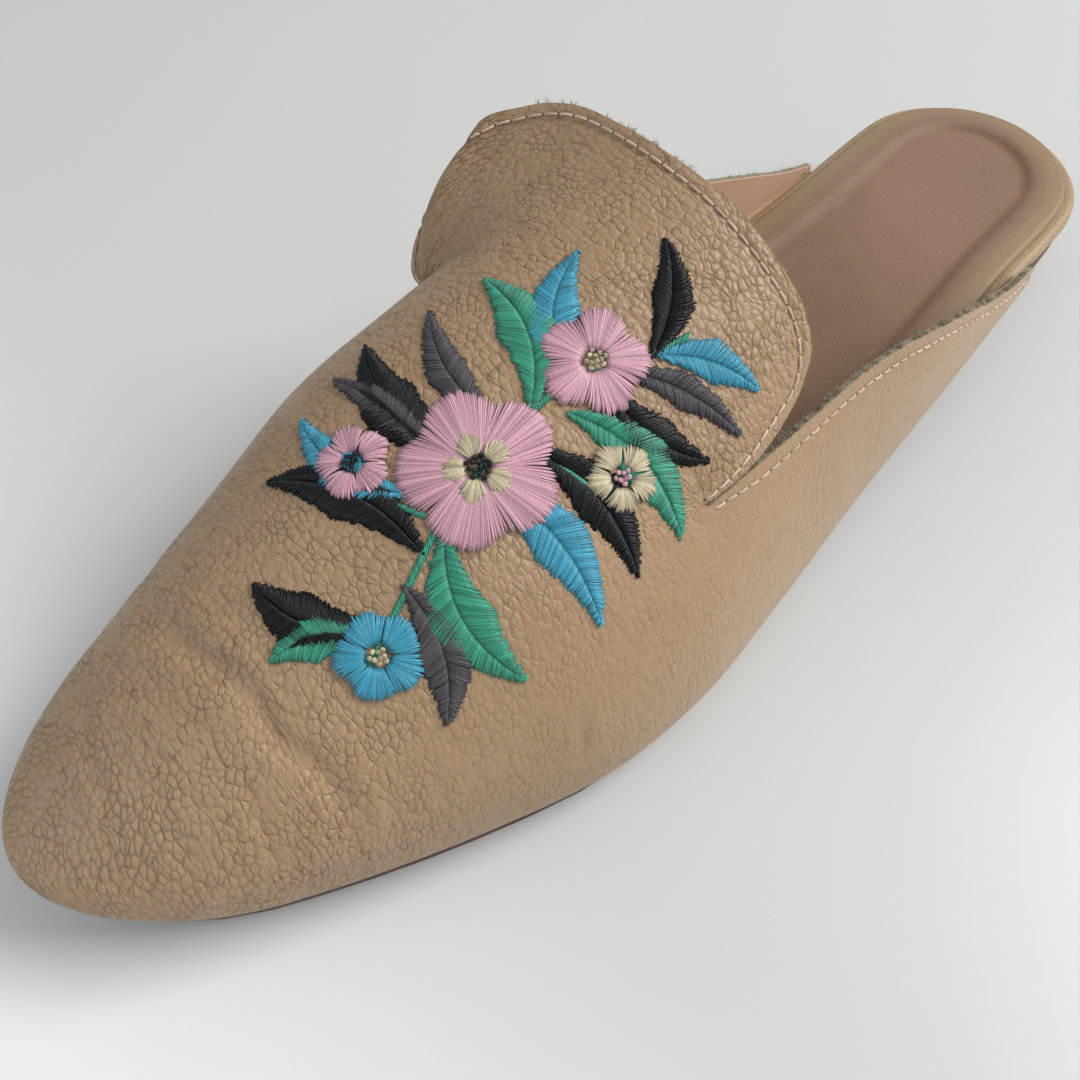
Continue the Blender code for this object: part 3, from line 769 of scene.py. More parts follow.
def read(mesh):
    """Each vertex's place, normal, spot on the flat leather, and its station, part and region."""
    result = []
    for data, key in ((mesh.vertices, "co"), (mesh.vertex_normals, "vector"),
                      (mesh.attributes["flat"].data, "vector"), (mesh.attributes["place"].data, "vector")):
        values = np.zeros(len(mesh.vertices) * 3)
        data.foreach_get(key, values)
        result.append(values.reshape(-1, 3))
    return result


def nearest(points, line):
    """Distance in metres from each point to the nearest point of a polyline's samples."""
    best = np.full(len(points), 1e9)
    for start in range(0, len(points), 8000):
        block = points[start : start + 8000]
        d = np.linalg.norm(block[:, None, :] - line[None, :, :], axis=2)
        best[start : start + 8000] = d.min(axis=1)
    return best


def smooth_line(points, steps=8):
    """Catmull-Rom through pairs of numbers."""
    p = np.array([points[0], *points, points[-1]], float)
    result = []
    for a, b, c, d in zip(p, p[1:], p[2:], p[3:]):
        slope, bend, twist = c - a, 2 * a - 5 * b + 4 * c - d, 3 * b - a - 3 * c + d
        for k in range(steps):
            t = k / steps
            result.append(0.5 * (2 * b + slope * t + bend * t**2 + twist * t**3))
    return result + [p[-1]]


def free_edges():
    """The upper's free edges as polylines in metres: both quarters, the tongue, and both rear cut ends."""
    tongue = [tongue_skin(1.0, i / 60) for i in range(60)]
    tongue += [tongue_skin(1.0 - 2.0 * i / 240, 1.0) for i in range(240)]
    tongue += [tongue_skin(-1.0, 1.0 - i / 60) for i in range(61)]
    edges = {"tongue": tongue}
    run = [QUARTER_END + (NOTCH_STATION - QUARTER_END) * i / 160 for i in range(161)]
    for name, outer_side in (("outer", True), ("inner", False)):
        edges[name] = [quarter_skin(station, 1.0, outer_side) for station in run]
        edges["rear_" + name] = [quarter_skin(QUARTER_END, i / 30, outer_side) for i in range(31)]
    return {name: np.array([to_world(p) for p in points]) for name, points in edges.items()}


EDGES = free_edges()
skin_mesh, boundary = build_skin()
co, normal, flat, place = read(skin_mesh)
station, part, region = place.T

SAMPLE = 0.4  # between samples of a crease or of a stitch row


def hill(x, height, middle, spread):
    return height * np.exp(-(((x - middle) / spread) ** 2))


# Creases, broad softness and the pull of the stitch row
offset = np.zeros(len(co))
for name, half, depth, points in CREASES:
    line = np.array([to_world(skin(s, p)) for s, p in smooth_line(points)])
    line, _ = resample(line, SAMPLE * MM)
    d = nearest(co, line) / MM
    ends = np.minimum(np.linalg.norm(co - line[0], axis=1), np.linalg.norm(co - line[-1], axis=1)) / MM
    fade = smoothstep(0.0, 6.0, ends)
    close = d < half * 4
    jitter = np.array([noise.noise(Vector(p) * 260.0) for p in co[close]])
    trough = np.zeros(len(co))
    dd = np.maximum(d[close] + jitter * 0.3, 0.0)
    trough[close] = hill(dd, 0.24, half * 1.7, half * 0.95) - hill(dd, 1.0, 0.0, half * 0.62)
    offset += trough * depth * fade
soft = np.array([
    noise.noise(Vector(p) * 48.0) + 0.45 * noise.noise(Vector(p) * 110.0 + Vector((3, 7, 1))) for p in co
])
calm = np.where(region == ON_QUARTER, 0.35, 1.0)
edge_all = np.concatenate([EDGES["outer"], EDGES["tongue"], EDGES["inner"]])
edge_distance = nearest(co, edge_all) / MM
offset += 0.20 * soft * calm * smoothstep(1.0, 8.0, edge_distance)
# the stitch row pulls a groove into the leather and pushes up a low ridge between it and the edge
offset += hill(edge_distance, 0.08, 1.0, 0.8) - hill(edge_distance, 0.22, 2.5, 0.8)
offset[np.abs(part - 1.0) > 1.0] = 0.0
outer_co = co + normal * (offset * MM)[:, None]
inner_co = co - normal * (WALL * MM)

# Leather amounts: how strong the pebbles and the lasting wrinkles are, place by place
from_side = np.minimum(part, 2.0 - part)
side_calm = np.clip(smoothstep(0.30, 0.75, from_side) + smoothstep(212.0, 236.0, station), 0, 1)
side_calm = 0.42 + 0.58 * side_calm
grain = np.where(region == ON_QUARTER, 0.30, 1.0)
grain = np.where((region == ON_VAMP) & (from_side < 0.75), side_calm, grain)
hinge_side = (region == ON_VAMP) & (from_side < NOTCH_PART)
grain = np.where(hinge_side, np.minimum(grain, 0.30 + 0.70 * smoothstep(165.0, 226.0, station)), grain)
wrinkle = smoothstep(214.0, 240.0, station) * (1.0 - smoothstep(0.35, 0.85, from_side))
notch_outer = np.array(to_world(skin(NOTCH_STATION, NOTCH_PART)))
notch_inner = np.array(to_world(skin(NOTCH_STATION, 2.0 - NOTCH_PART)))
near_notch = np.min([np.linalg.norm(co - notch, axis=1) for notch in (notch_outer, notch_inner)], axis=0) / MM
flex_line = np.array([to_world(skin(s, p)) for s, p in smooth_line(CREASES[0][3])])
flexed = nearest(co, resample(flex_line, 0.0006)[0]) / MM
wrinkle = wrinkle * 0.9 + hill(flexed, 0.85, 0.0, 4.5) + hill(near_notch, 0.35, 0.0, 16.0)
wrinkle = np.clip(wrinkle + 0.10, 0.0, 1.0)

# Fans of fine wrinkles that run from the bottom of each notch into the vamp and the tongue
fan = np.zeros(len(co))
fan_map = np.zeros((len(co), 3))
for number, corner in enumerate((notch_outer, notch_inner)):
    away = np.linalg.norm(co - corner, axis=1) / MM
    middle = flat[np.argmin(away + 100.0 * (region != ON_VAMP))]
    du, dv = ((flat - middle)[:, :2] / MM).T
    du *= -np.sign(middle[0])
    reach = hill(away, 1.0, 0.0, 15.0) * smoothstep(0.4, 1.6, away) * smoothstep(-1.0, 4.0, du)
    reach = reach * (region != ON_QUARTER)
    angle = np.arctan2(dv, du)
    held = reach > fan
    fan[held] = reach[held]
    fan_map[held] = np.stack([angle * 4.0, away * 0.06, np.full(len(co), 5.0 * number)], axis=1)[held]

faces = [tuple(p.vertices) for p in skin_mesh.polygons]
count = len(co)
outer_tree = BVHTree.FromPolygons([Vector(v) for v in outer_co], faces)

# Walk the boundary loop for the rim, which closes the wall in this many steps from outer to inner skin
RIM = 5
links = {}
for a, b in boundary:
    links.setdefault(a, []).append(b)
    links.setdefault(b, []).append(a)
loop = [boundary[0][0]]
previous = None
while True:
    options = [v for v in links[loop[-1]] if v != previous]
    previous = loop[-1]
    if options[0] == loop[0]:
        break
    loop.append(options[0])
loop = np.array(loop)
rim_outer = outer_co[loop]
rim_inner = inner_co[loop]
tangent = np.roll(rim_outer, -1, axis=0) - np.roll(rim_outer, 1, axis=0)
tangent /= np.linalg.norm(tangent, axis=1)[:, None] + 1e-12
out = np.cross(tangent, normal[loop])
out /= np.linalg.norm(out, axis=1)[:, None] + 1e-12
centre_of_faces = {}
for f in faces:
    for v in f:
        centre_of_faces.setdefault(v, []).append(f)
for k, v in enumerate(loop):
    middle = np.mean([co[w] for f in centre_of_faces[v] for w in f], axis=0)
    if np.dot(out[k], middle - co[v]) > 0:
        out[k] = -out[k]
rim_rows = []
for k in range(RIM + 1):
    t = k / RIM
    rough = np.array([noise.noise(Vector(p) * 900.0 + Vector((0, 0, 4.0 * t))) for p in rim_outer])
    bulge = 0.20 * math.sin(math.pi * t) + 0.12 * rough * math.sin(math.pi * t)
    rim_rows.append(rim_outer * (1 - t) + rim_inner * t + out * (bulge * MM)[:, None])
verts = np.concatenate([outer_co, inner_co] + rim_rows)
all_faces = list(faces)
kinds = [0] * len(faces)
all_faces += [tuple(v + count for v in reversed(f)) for f in faces]
kinds += [1] * len(faces)
n = len(loop)
for k in range(RIM):
    a0 = 2 * count + k * n
    b0 = a0 + n
    for i in range(n):
        j = (i + 1) % n
        all_faces.append((a0 + i, a0 + j, b0 + j, b0 + i))
        kinds.append(2)

leathers = [leather_outer(), leather_lining(), leather_edge()]
upper = add_piece("upper_leather", verts, all_faces, leathers, kinds)
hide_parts("upper")


def point_attribute(obj, name, values):
    values = np.asarray(values, np.float32)
    kind, key = ("FLOAT", "value") if values.ndim == 1 else ("FLOAT_VECTOR", "vector")
    obj.data.attributes.new(name, kind, "POINT").data.foreach_set(key, values.ravel())


amounts = {"grain": grain, "wrinkle": wrinkle, "flat": flat, "fan": fan, "fan_map": fan_map}
for name, values in amounts.items():
    whole = np.zeros((len(verts),) + values.shape[1:])
    whole[:count] = values
    point_attribute(upper, name, whole)
layer = np.zeros(len(verts))
for k in range(RIM + 1):
    layer[2 * count + k * n : 2 * count + (k + 1) * n] = k / RIM
point_attribute(upper, "layer", layer)
bpy.data.meshes.remove(skin_mesh)


# ---------------------------------------------------------------- threads

class Bundle:
    """Many short threads gathered into one mesh."""

    def __init__(self):
        self.verts = []
        self.faces = []
        self.tones = []

    def thread(self, points, ups, radius, tone, sides=5, taper=0.75, flatness=1.0):
        """A closed tube along points, in metres; ups are surface normals."""
        first = len(self.verts)
        m = len(points)
        for i in range(m):
            t = points[min(i + 1, m - 1)] - points[max(i - 1, 0)]
            t = t / (np.linalg.norm(t) + 1e-12)
            up = ups[i] - t * np.dot(ups[i], t)
            up = up / (np.linalg.norm(up) + 1e-12)
            across = np.cross(t, up)
            r = radius * (taper if i in (0, m - 1) else 1.0)
            for k in range(sides):
                a = 2 * math.pi * k / sides
                self.verts.append(points[i] + across * (math.cos(a) * r) + up * (math.sin(a) * r * flatness))
                self.tones.append(tone)
        for i in range(m - 1):
            for k in range(sides):
                a = first + i * sides + k
                b = first + i * sides + (k + 1) % sides
                self.faces.append((a, b, b + sides, a + sides))
        self.faces.append(tuple(first + k for k in reversed(range(sides))))
        self.faces.append(tuple(first + (m - 1) * sides + k for k in range(sides)))

    def blade(self, points, width, tone, side):
        """A flat fibre that narrows to a point."""
        first = len(self.verts)
        m = len(points)
        for i in range(m - 1):
            w = width * (1.0 - i / (m - 1)) ** 0.6
            self.verts.append(points[i] - side * w / 2)
            self.verts.append(points[i] + side * w / 2)
        self.verts.append(points[-1])
        self.tones += [tone] * (2 * (m - 1) + 1)
        for i in range(m - 2):
            a = first + 2 * i
            self.faces.append((a, a + 1, a + 3, a + 2))
        a = first + 2 * (m - 2)
        self.faces.append((a, a + 1, a + 2))

    def piece(self, name, mat):
        obj = add_piece(name, self.verts, self.faces, [mat])
        point_attribute(obj, "tone", self.tones)
        return obj


def surface(point):
    """Nearest point and normal of the leather."""
    location, n, _, _ = outer_tree.find_nearest(Vector(point))
    return np.array(location), np.array(n)


def beside(line, i, reach, flip):
    """At a point of a free edge: the way along it, the leather's normal, and the way in from the edge."""
    t = line[min(i + reach, len(line) - 1)] - line[max(i - reach, 0)]
    t = t / np.linalg.norm(t)
    _, up = surface(line[i])
    return t, up, np.cross(up, t) * (-1.0 if flip else 1.0)


DRAWN_IN = 0.28  # share of its distance that a stitch row keeps at an end that draws in
CLEAR = 0.88  # share of its distance that a row has to keep from the whole edge, so that corners stay free
SMOOTHINGS = 40


def stitch_row(edge, offsets, ends, flip):
    """Path on the leather that runs beside a free edge. offsets: (share of the edge, distance from it) pairs.
    ends: over what length the row draws in to the edge."""
    line, _ = resample(edge, SAMPLE * MM)
    m = len(line)
    at = np.arange(m) * SAMPLE
    grow = np.interp(np.linspace(0.0, 1.0, m), [o[0] for o in offsets], [o[1] for o in offsets])
    for end, away in zip(ends, (at, at[::-1])):
        if end:
            grow = grow * (DRAWN_IN + (1.0 - DRAWN_IN) * smoothstep(0.0, 1.0, away / end))
    path = []
    for i in range(m):
        _, _, inward = beside(line, i, 5, flip)
        path.append(surface(line[i] + inward * grow[i] * MM)[0])
    path = np.array(path)
    clear = nearest(path, line) / MM > CLEAR * grow
    path, _ = resample(path[clear], SAMPLE * MM)
    for _ in range(SMOOTHINGS):
        path[1:-1] = 0.5 * path[1:-1] + 0.25 * (path[:-2] + path[2:])
    return path


STITCH = 2.75
STITCH_GAP = 0.30
# Distance of a row from its edge, by share of the edge
QUARTER_ROW = ((0.0, 2.4), (1.0, 2.4))
TONGUE_ROW = ((0.0, 2.5), (0.35, 2.5), (0.50, 2.1), (0.62, 1.7), (0.80, 1.9), (1.0, 2.4))
thread_bundle = Bundle()
hole_shade_bundle = Bundle()


def sew(path, skip_start, skip_end):
    """Stitches along a path, and a disc of painted shade for a needle hole before each. The skips are the
    bare lengths at both ends.
    """
    steps = np.linalg.norm(np.diff(path, axis=0), axis=1)
    along = np.concatenate([[0.0], np.cumsum(steps)]) / MM

    def on_path(at):
        return np.array([np.interp(at, along, path[:, c]) for c in range(3)])

    for k in range(int((along[-1] - skip_start - skip_end) / STITCH)):
        a = skip_start + k * STITCH
        wander = random.uniform(-0.10, 0.10)
        points = []
        ups = []
        for i in range(8):
            t = i / 7
            p, up = surface(on_path(a + STITCH_GAP / 2 + (STITCH - STITCH_GAP) * t))
            lift = -0.12 + 0.32 * math.sin(math.pi * t) ** 0.6
            drift = np.cross(up, path[min(len(path) - 1, 5)] - path[0])
            drift /= np.linalg.norm(drift)
            points.append(p + up * lift * MM + drift * wander * math.sin(math.pi * t) * MM)
            ups.append(up)
        thread_bundle.thread(np.array(points), np.array(ups), 0.23 * MM, random.uniform(0.25, 1.0), sides=7)
        p, up = surface(on_path(a))
        run = on_path(a + 0.5) - p
        run -= up * np.dot(run, up)
        run /= np.linalg.norm(run)
        side = np.cross(up, run)
        first = len(hole_shade_bundle.verts)
        hole_shade_bundle.verts.append(p + up * 0.03 * MM)
        for i in range(8):
            w = 2 * math.pi * i / 8
            q, qn = surface(p + run * math.cos(w) * 0.24 * MM + side * math.sin(w) * 0.20 * MM)
            hole_shade_bundle.verts.append(q + qn * 0.035 * MM)
            hole_shade_bundle.faces.append((first, first + 1 + i, first + 1 + (i + 1) % 8))
        hole_shade_bundle.tones += [0.0] * 9


sew(stitch_row(EDGES["outer"], QUARTER_ROW, (0.0, 14.0), False), 3.0, 0.5)
sew(stitch_row(EDGES["inner"], QUARTER_ROW, (0.0, 14.0), True), 3.0, 0.5)
sew(stitch_row(EDGES["tongue"], TONGUE_ROW, (24.0, 20.0), False), 0.5, 0.5)
thread_bundle.piece("topstitch", thread("stitch_thread", (0.57, 0.42, 0.32), roughness=0.5))
# the needle holes are flat dark discs: painted shade for the depth of each hole
hole_shade_bundle.piece("needle_holes", plain("needle_hole_painted_shade", (0.115, 0.066, 0.040), 0.9))

# Fibres along the raw edges
fuzz = Bundle()


def fringe(edge, flip, per_mm, long_mm):
    """Short fibres all along a raw edge, gathered here and there into tufts."""
    line, length = resample(edge, 0.0003)
    m = len(line)
    if m < 8:
        return
    tufts = [random.randrange(2, m - 2) for _ in range(int(length / MM * 0.55))]
    for number in range(int(length / MM * per_mm)):
        i = random.randrange(2, m - 2)
        size = 0.55
        if number % 3:
            i = min(max(random.choice(tufts) + int(random.gauss(0.0, 1.2)), 2), m - 3)
            size = 1.0
        t, up, inward = beside(line, i, 2, flip)
        depth = random.uniform(0.10, 1.2)
        root = line[i] - up * depth * MM + inward * 0.15 * MM
        reach = random.uniform(0.3, 1.0) ** 1.4 * long_mm * size
        lean = t * random.uniform(-0.7, 0.7) + up * random.uniform(-0.3, 0.7)
        curl = t * random.uniform(-0.9, 0.9) + up * random.uniform(-0.5, 0.8)
        points = []
        for k in range(5):
            s = k / 4
            points.append(root + (-inward * s + lean * s * 0.6 + curl * s * s * 0.8) * reach * MM)
        side = unit_vector(np.cross(-inward, random_direction()))
        fuzz.blade(points, random.uniform(0.07, 0.15) * MM, random.random(), side)


def unit_vector(v):
    return v / (np.linalg.norm(v) + 1e-12)


def random_direction():
    return unit_vector(np.array([random.gauss(0, 1) for _ in range(3)]))


fringe(EDGES["tongue"][:-100], False, 20.0, 1.25)
fringe(EDGES["outer"], False, 32.0, 1.9)
fringe(EDGES["inner"], True, 12.0, 1.0)
fringe(EDGES["rear_outer"], True, 16.0, 1.0)
fringe(EDGES["rear_inner"], False, 16.0, 1.0)
fuzz.piece("edge_fibres", fuzz_material())


# ---------------------------------------------------------------- stitched sprig

# Drawing plane over the instep: origin on the leather, x towards the outer side, y up towards the tongue
MOTIF_ORIGIN = Vector((0.006, -0.052, 0.052))
MOTIF_NORMAL = Vector((0.30, -0.42, 0.86)).normalized()
MOTIF_Y = (Vector((0.0, 1.0, 0.0)) - MOTIF_NORMAL * MOTIF_NORMAL.y).normalized()
MOTIF_X = MOTIF_Y.cross(MOTIF_NORMAL).normalized()

COLOURS = {
    "black": (0.008, 0.009, 0.012),
    "grey": (0.085, 0.078, 0.088),
    "teal": (0.030, 0.300, 0.190),
    "blue": (0.045, 0.330, 0.480),
    "pink": (0.640, 0.360, 0.430),
    "cream": (0.560, 0.480, 0.320),
}
motif = {name: Bundle() for name in COLOURS}


def on_leather(x, y):
    origin = MOTIF_ORIGIN + (MOTIF_X * x + MOTIF_Y * y) * MM + MOTIF_NORMAL * 0.06
    location, n, _, _ = outer_tree.ray_cast(origin, -MOTIF_NORMAL)
    if location is None:
        return None, None
    return np.array(location), np.array(n)


def satin_thread(colour, a, b, loft, lift=0.0):
    """One stitch from a to b on the drawing plane, arched over its padding."""
    length = math.dist(a, b)
    if length < 0.5:
        return
    steps = max(4, int(length / 1.1) + 2)
    points = []
    ups = []
    for i in range(steps + 1):
        t = i / steps
        p, up = on_leather(a[0] + (b[0] - a[0]) * t, a[1] + (b[1] - a[1]) * t)
        if p is None:
            return
        height = 0.02 + lift + loft * (4.0 * t * (1.0 - t)) ** 0.45
        points.append(p + up * height * MM)
        ups.append(up)
    motif[colour].thread(np.array(points), np.array(ups), 0.20 * MM, random.random(), 4, 0.7, 0.8)


def spine_point(base, tip, bend, t):
    dx = tip[0] - base[0]
    dy = tip[1] - base[1]
    return (
        base[0] + dx * t - dy * bend * 4 * t * (1 - t),
        base[1] + dy * t + dx * bend * 4 * t * (1 - t),
    )


LEAF_PITCH = 0.33  # between stitches along a leaf's spine
LEAF_PEAK = 0.42  # share of the leaf's length at which it is widest
LEAF_SLANT = 0.55  # how far each stitch leans along the spine, in half widths


def leaf(colour, base, tip, width, bend):
    """Satin leaf. width: full width at its peak; bend: how far the spine bows, as a share of its length."""
    count = int(math.dist(base, tip) * 1.15 / LEAF_PITCH)
    for side in (-1, 1):
        for k in range(count):
            t = (k + 0.5) / count
            x, y = spine_point(base, tip, bend, t)
            x2, y2 = spine_point(base, tip, bend, min(1.0, t + 0.02))
            x1, y1 = spine_point(base, tip, bend, max(0.0, t - 0.02))
            run = math.dist((x1, y1), (x2, y2))
            tx, ty = (x2 - x1) / run, (y2 - y1) / run
            nx, ny = -ty * side, tx * side
            grow = (t / LEAF_PEAK) ** 0.75 if t < LEAF_PEAK else ((1 - t) / (1 - LEAF_PEAK)) ** 0.8
            w = width / 2 * min(1.0, grow)
            far = w + random.uniform(-0.28, 0.30)
            lean = w * LEAF_SLANT
            a = (x - nx * 0.15, y - ny * 0.15)
            b = (x + nx * far + tx * lean, y + ny * far + ty * lean)
            satin_thread(colour, a, b, 0.42)


PETAL_START = 1.6  # from the flower's middle


def petal(colour, centre, angle, reach, width, lift=0.38):
    """Petal whose stitches fan out from the flower's middle."""
    ax, ay = math.cos(angle), math.sin(angle)
    sx, sy = -ay, ax
    count = int(width / 0.30)
    for k in range(count + 1):
        u = 2.0 * k / count - 1.0
        far = reach * (1.0 - 0.30 * abs(u) ** 2.6) + random.uniform(-0.35, 0.35)
        spread = width / 2 * u
        near_x = centre[0] + ax * PETAL_START + sx * spread * 0.26
        near_y = centre[1] + ay * PETAL_START + sy * spread * 0.26
        far_x = centre[0] + ax * far + sx * spread
        far_y = centre[1] + ay * far + sy * spread
        satin_thread(colour, (near_x, near_y), (far_x, far_y), 0.42, lift=lift)


def stem(colour, points, width=1.1):
    """Row of short slanting stitches along a curve."""
    line, _ = resample([(x, y, 0.0) for x, y in smooth_line(points, 12)], 0.55)
    for i in range(len(line) - 3):
        a = line[i]
        b = line[i + 3]
        t = (b - a) / (np.linalg.norm(b - a) + 1e-9)
        n = np.array([-t[1], t[0], 0.0]) * width / 2
        satin_thread(colour, tuple(a[:2] - n[:2]), tuple(b[:2] + n[:2]), 0.30)


GOLDEN_ANGLE = 2.39996


def knots(colour, centre, radius, count):
    """French knots heaped in a round."""
    for k in range(count):
        r = radius * math.sqrt((k + 0.5) / count)
        a = k * GOLDEN_ANGLE
        x, y = centre[0] + r * math.cos(a), centre[1] + r * math.sin(a)
        p, up = on_leather(x, y)
        if p is None:
            continue
        side = unit_vector(np.cross(up, np.array([0.3, 0.8, 0.2])))
        fore = np.cross(up, side)
        ring = []
        ups = []
        for i in range(7):
            w = 2 * math.pi * i / 6 + a
            round_it = (side * math.cos(w) + fore * math.sin(w)) * 0.20 * MM
            ring.append(p + round_it + up * (0.95 + 0.04 * i) * MM)
            ups.append(up)
        motif[colour].thread(np.array(ring), np.array(ups), 0.24 * MM, random.random(), sides=5)


# Leaves: colour, base, tip, width, bend
LEAVES = (
    ("black", (9, -27), (-9, -38), 9.0, 0.16),
    ("teal", (10, -30), (2, -43), 7.4, -0.14),
    ("black", (5, -17), (-20, -28), 9.4, -0.14),
    ("grey", (6, -22), (25, -31), 8.4, 0.14),
    ("blue", (-3, -13), (-25, -18), 7.6, 0.12),
    ("black", (-2, -2), (-28, -3), 9.6, 0.15),
    ("grey", (-3, -7), (-27, -11), 6.4, -0.08),
    ("teal", (4, -12), (28, -18), 9.8, -0.16),
    ("blue", (2, -4), (29, -5), 9.0, 0.12),
    ("black", (2, 4), (27, 4), 8.6, 0.14),
    ("teal", (-1, 8), (-23, 17), 9.6, -0.16),
    ("grey", (-2, 4), (-25, 8), 6.6, 0.12),
    ("blue", (0, 15), (-16, 31), 8.6, 0.15),
    ("teal", (2, 12), (27, 13), 9.4, 0.15),
    ("black", (2, 20), (21, 24.5), 7.8, -0.14),
    ("grey", (2, 22), (22, 31), 6.0, 0.10),
    ("blue", (4, 28), (18, 38), 7.2, 0.12),
    ("black", (4, 27), (-9, 42), 7.0, -0.12),
)
# Blossoms: colour, middle, petals, first angle, reach, petal width
BLOSSOMS = (
    ("pink", (0.5, -3.0), 5, 90.0, 12.0, 11.4),
    ("pink", (-1.0, 20.5), 5, 54.0, 8.4, 7.8),
    ("blue", (11.5, -31.0), 5, 20.0, 6.4, 6.4),
    ("pink", (-12.5, -16.0), 5, 10.0, 5.8, 5.6),
    ("cream", (14.5, 12.0), 5, 30.0, 5.2, 5.0),
)
stem("teal", ((13, -36), (8, -24), (3, -12), (0, 2), (-1, 14), (3, 26), (5, 35)))
stem("teal", ((3, -12), (-5, -16), (-13, -18)), 0.9)
stem("teal", ((0, 2), (8, 6), (15, 8)), 0.9)
for colour, base, tip, width, bend in LEAVES:
    leaf(colour, base, tip, width, bend)
for colour, middle, count_of, first_angle, reach, width in BLOSSOMS:
    for k in range(count_of):
        petal(colour, middle, math.radians(first_angle + 360.0 / count_of * k), reach, width)
for k in range(5):
    petal("cream", (0.5, -3.0), math.radians(90 + 72 * k), 5.6, 4.2, lift=0.60)
knots("black", (0.5, -3.0), 1.9, 15)
knots("cream", (-1.0, 20.5), 1.6, 12)
knots("cream", (11.5, -31.0), 1.3, 9)
knots("black", (-12.5, -16.0), 1.2, 8)
knots("pink", (14.5, 12.0), 1.2, 8)

for name, bundle in motif.items():
    dark = name in ("black", "grey")
    mat = thread("sprig_thread_" + name, COLOURS[name], 0.36, 0.30 if dark else 0.5, 0.0 if dark else 0.15)
    bundle.piece("sprig_" + name, mat)


# ---------------------------------------------------------------- footbed, sock

def plate_rows(back, toe, heel_steps, steps):
    rows = []
    for i in range(heel_steps):
        rows.append(back + HEEL_ROUND * (1.0 - math.cos(math.pi / 2 * i / heel_steps)))
    start = back + HEEL_ROUND
    for i in range(steps):
        v = i / (steps - 1)
        rows.append(toe - (toe - start) * (1.0 - v) ** 1.5)
    return rows


def build_plate(name, mat, stations, outline, profile, cover, columns):
    """Closed plate: its side follows profile, pairs of inset and height, and cover shapes its top."""
    inner = [(outline(s)[0], s) for s in stations]
    outer = [(outline(s)[1], s) for s in stations]
    lines = (outer, inner)
    normals = (edge_normals(outer, inner), edge_normals(inner, outer))
    bm = bmesh.new()
    grooves = bm.verts.layers.float.new("groove_shade")
    edges = bm.verts.layers.float.new("edge")
    sides = []
    for line, normal in zip(lines, normals):
        grid = []
        for i, s in enumerate(stations):
            row = []
            for inset, height in profile:
                x = line[i][0] + normal[i][0] * inset
                y = line[i][1] + normal[i][1] * inset
                row.append(bm.verts.new(to_world((x, y, height(y)))))
            grid.append(row)
        sides.append(grid)
    grid_faces(bm, sides[0], False)
    grid_faces(bm, sides[1], True)
    bottom = [[a[0], b[0]] for a, b in zip(*sides)]
    grid_faces(bm, bottom, True)
    top = []
    edge_points = np.array([(g[-1].co.x, g[-1].co.y) for grid in sides for g in grid])
    for i, s in enumerate(stations):
        a = sides[0][i][-1]
        b = sides[1][i][-1]
        row = [a]
        for j in range(1, columns):
            co = a.co.lerp(b.co, j / columns)
            d = np.sqrt(((edge_points - np.array((co.x, co.y))) ** 2).sum(axis=1)).min() / MM
            rise, groove_shade = cover(s, d)
            co.z += rise * MM
            v = bm.verts.new(co)
            v[grooves] = groove_shade
            v[edges] = d
            row.append(v)
        top.append(row + [b])
    grid_faces(bm, top, False)
    bmesh.ops.remove_doubles(bm, verts=bm.verts, dist=0.00001)
    bmesh.ops.recalc_face_normals(bm, faces=bm.faces)
    mesh = bpy.data.meshes.new(name)
    bm.to_mesh(mesh)
    bm.free()
    mesh.materials.append(mat)
    return stand(name, mesh)


def raised(base, extra):
    return lambda s: base(s) + extra


def footbed_plan(station):
    return plan(station, footbed("inset", station), FOOTBED_TOE, 0.0)


def footbed_top(station):
    return footbed("top_z", station)


def footbed_low(station):
    return feather_z(station) + WALL + 0.6


def dished(station, edge):
    """How much of the heel's dish is there: its fade towards the toe, and its depth at this distance in."""
    fade = float(smoothstep(0.0, 26.0, DISH_FRONT - station))
    down = float(smoothstep(DISH_INSET - DISH_SLOPE / 2, DISH_INSET + DISH_SLOPE / 2, edge))
    return fade, -DISH_DEPTH * down * fade


def dish(station, edge):
    """Sock lining: rounded band round the rim, then the dished heel area. edge: distance from its edge."""
    fade, depth = dished(station, edge)
    band_rise = 0.30 * math.sin(math.pi * min(1.0, edge / DISH_INSET)) * fade
    # the line of painted shade along the drop into the dish
    line = math.exp(-(((edge - DISH_INSET) / 0.8) ** 2)) * fade
    return band_rise + depth, line


def hollow(station, edge):
    """Footbed: the same dish, a little lower, under the sock. edge: distance from the board's edge."""
    return dished(station, edge - SOCK_INSET)[1] - 0.15 * float(smoothstep(0.0, 2.0, edge)), 0.0


# Wrapped rim, as (inset, height) from under the board, up its side and over a quarter round of this radius
RIM_ROUND = 1.7
rim_profile = [(3.2, feather_z), (2.6, raised(feather_z, 1.2)), (0.4, footbed_low)]
rim_profile += [(0.0, raised(footbed_low, 0.5)), (0.0, raised(footbed_top, -RIM_ROUND))]
for k in range(1, 9):
    angle = math.pi / 2 * k / 8
    over = RIM_ROUND * (math.sin(angle) - 1.0)
    rim_profile.append((RIM_ROUND * (1.0 - math.cos(angle)), raised(footbed_top, over)))
wrap_rows = plate_rows(0.0, FOOTBED_TOE, 30, 110)
wrap = build_plate("footbed_wrap", rim_leather(), wrap_rows, footbed_plan, rim_profile, hollow, 40)
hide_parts("footbed")

SOCK_TOE = FOOTBED_TOE - SOCK_INSET - 3.0


def sock_plan(station):
    return plan(station, footbed("inset", station) + SOCK_INSET, SOCK_TOE, SOCK_INSET)


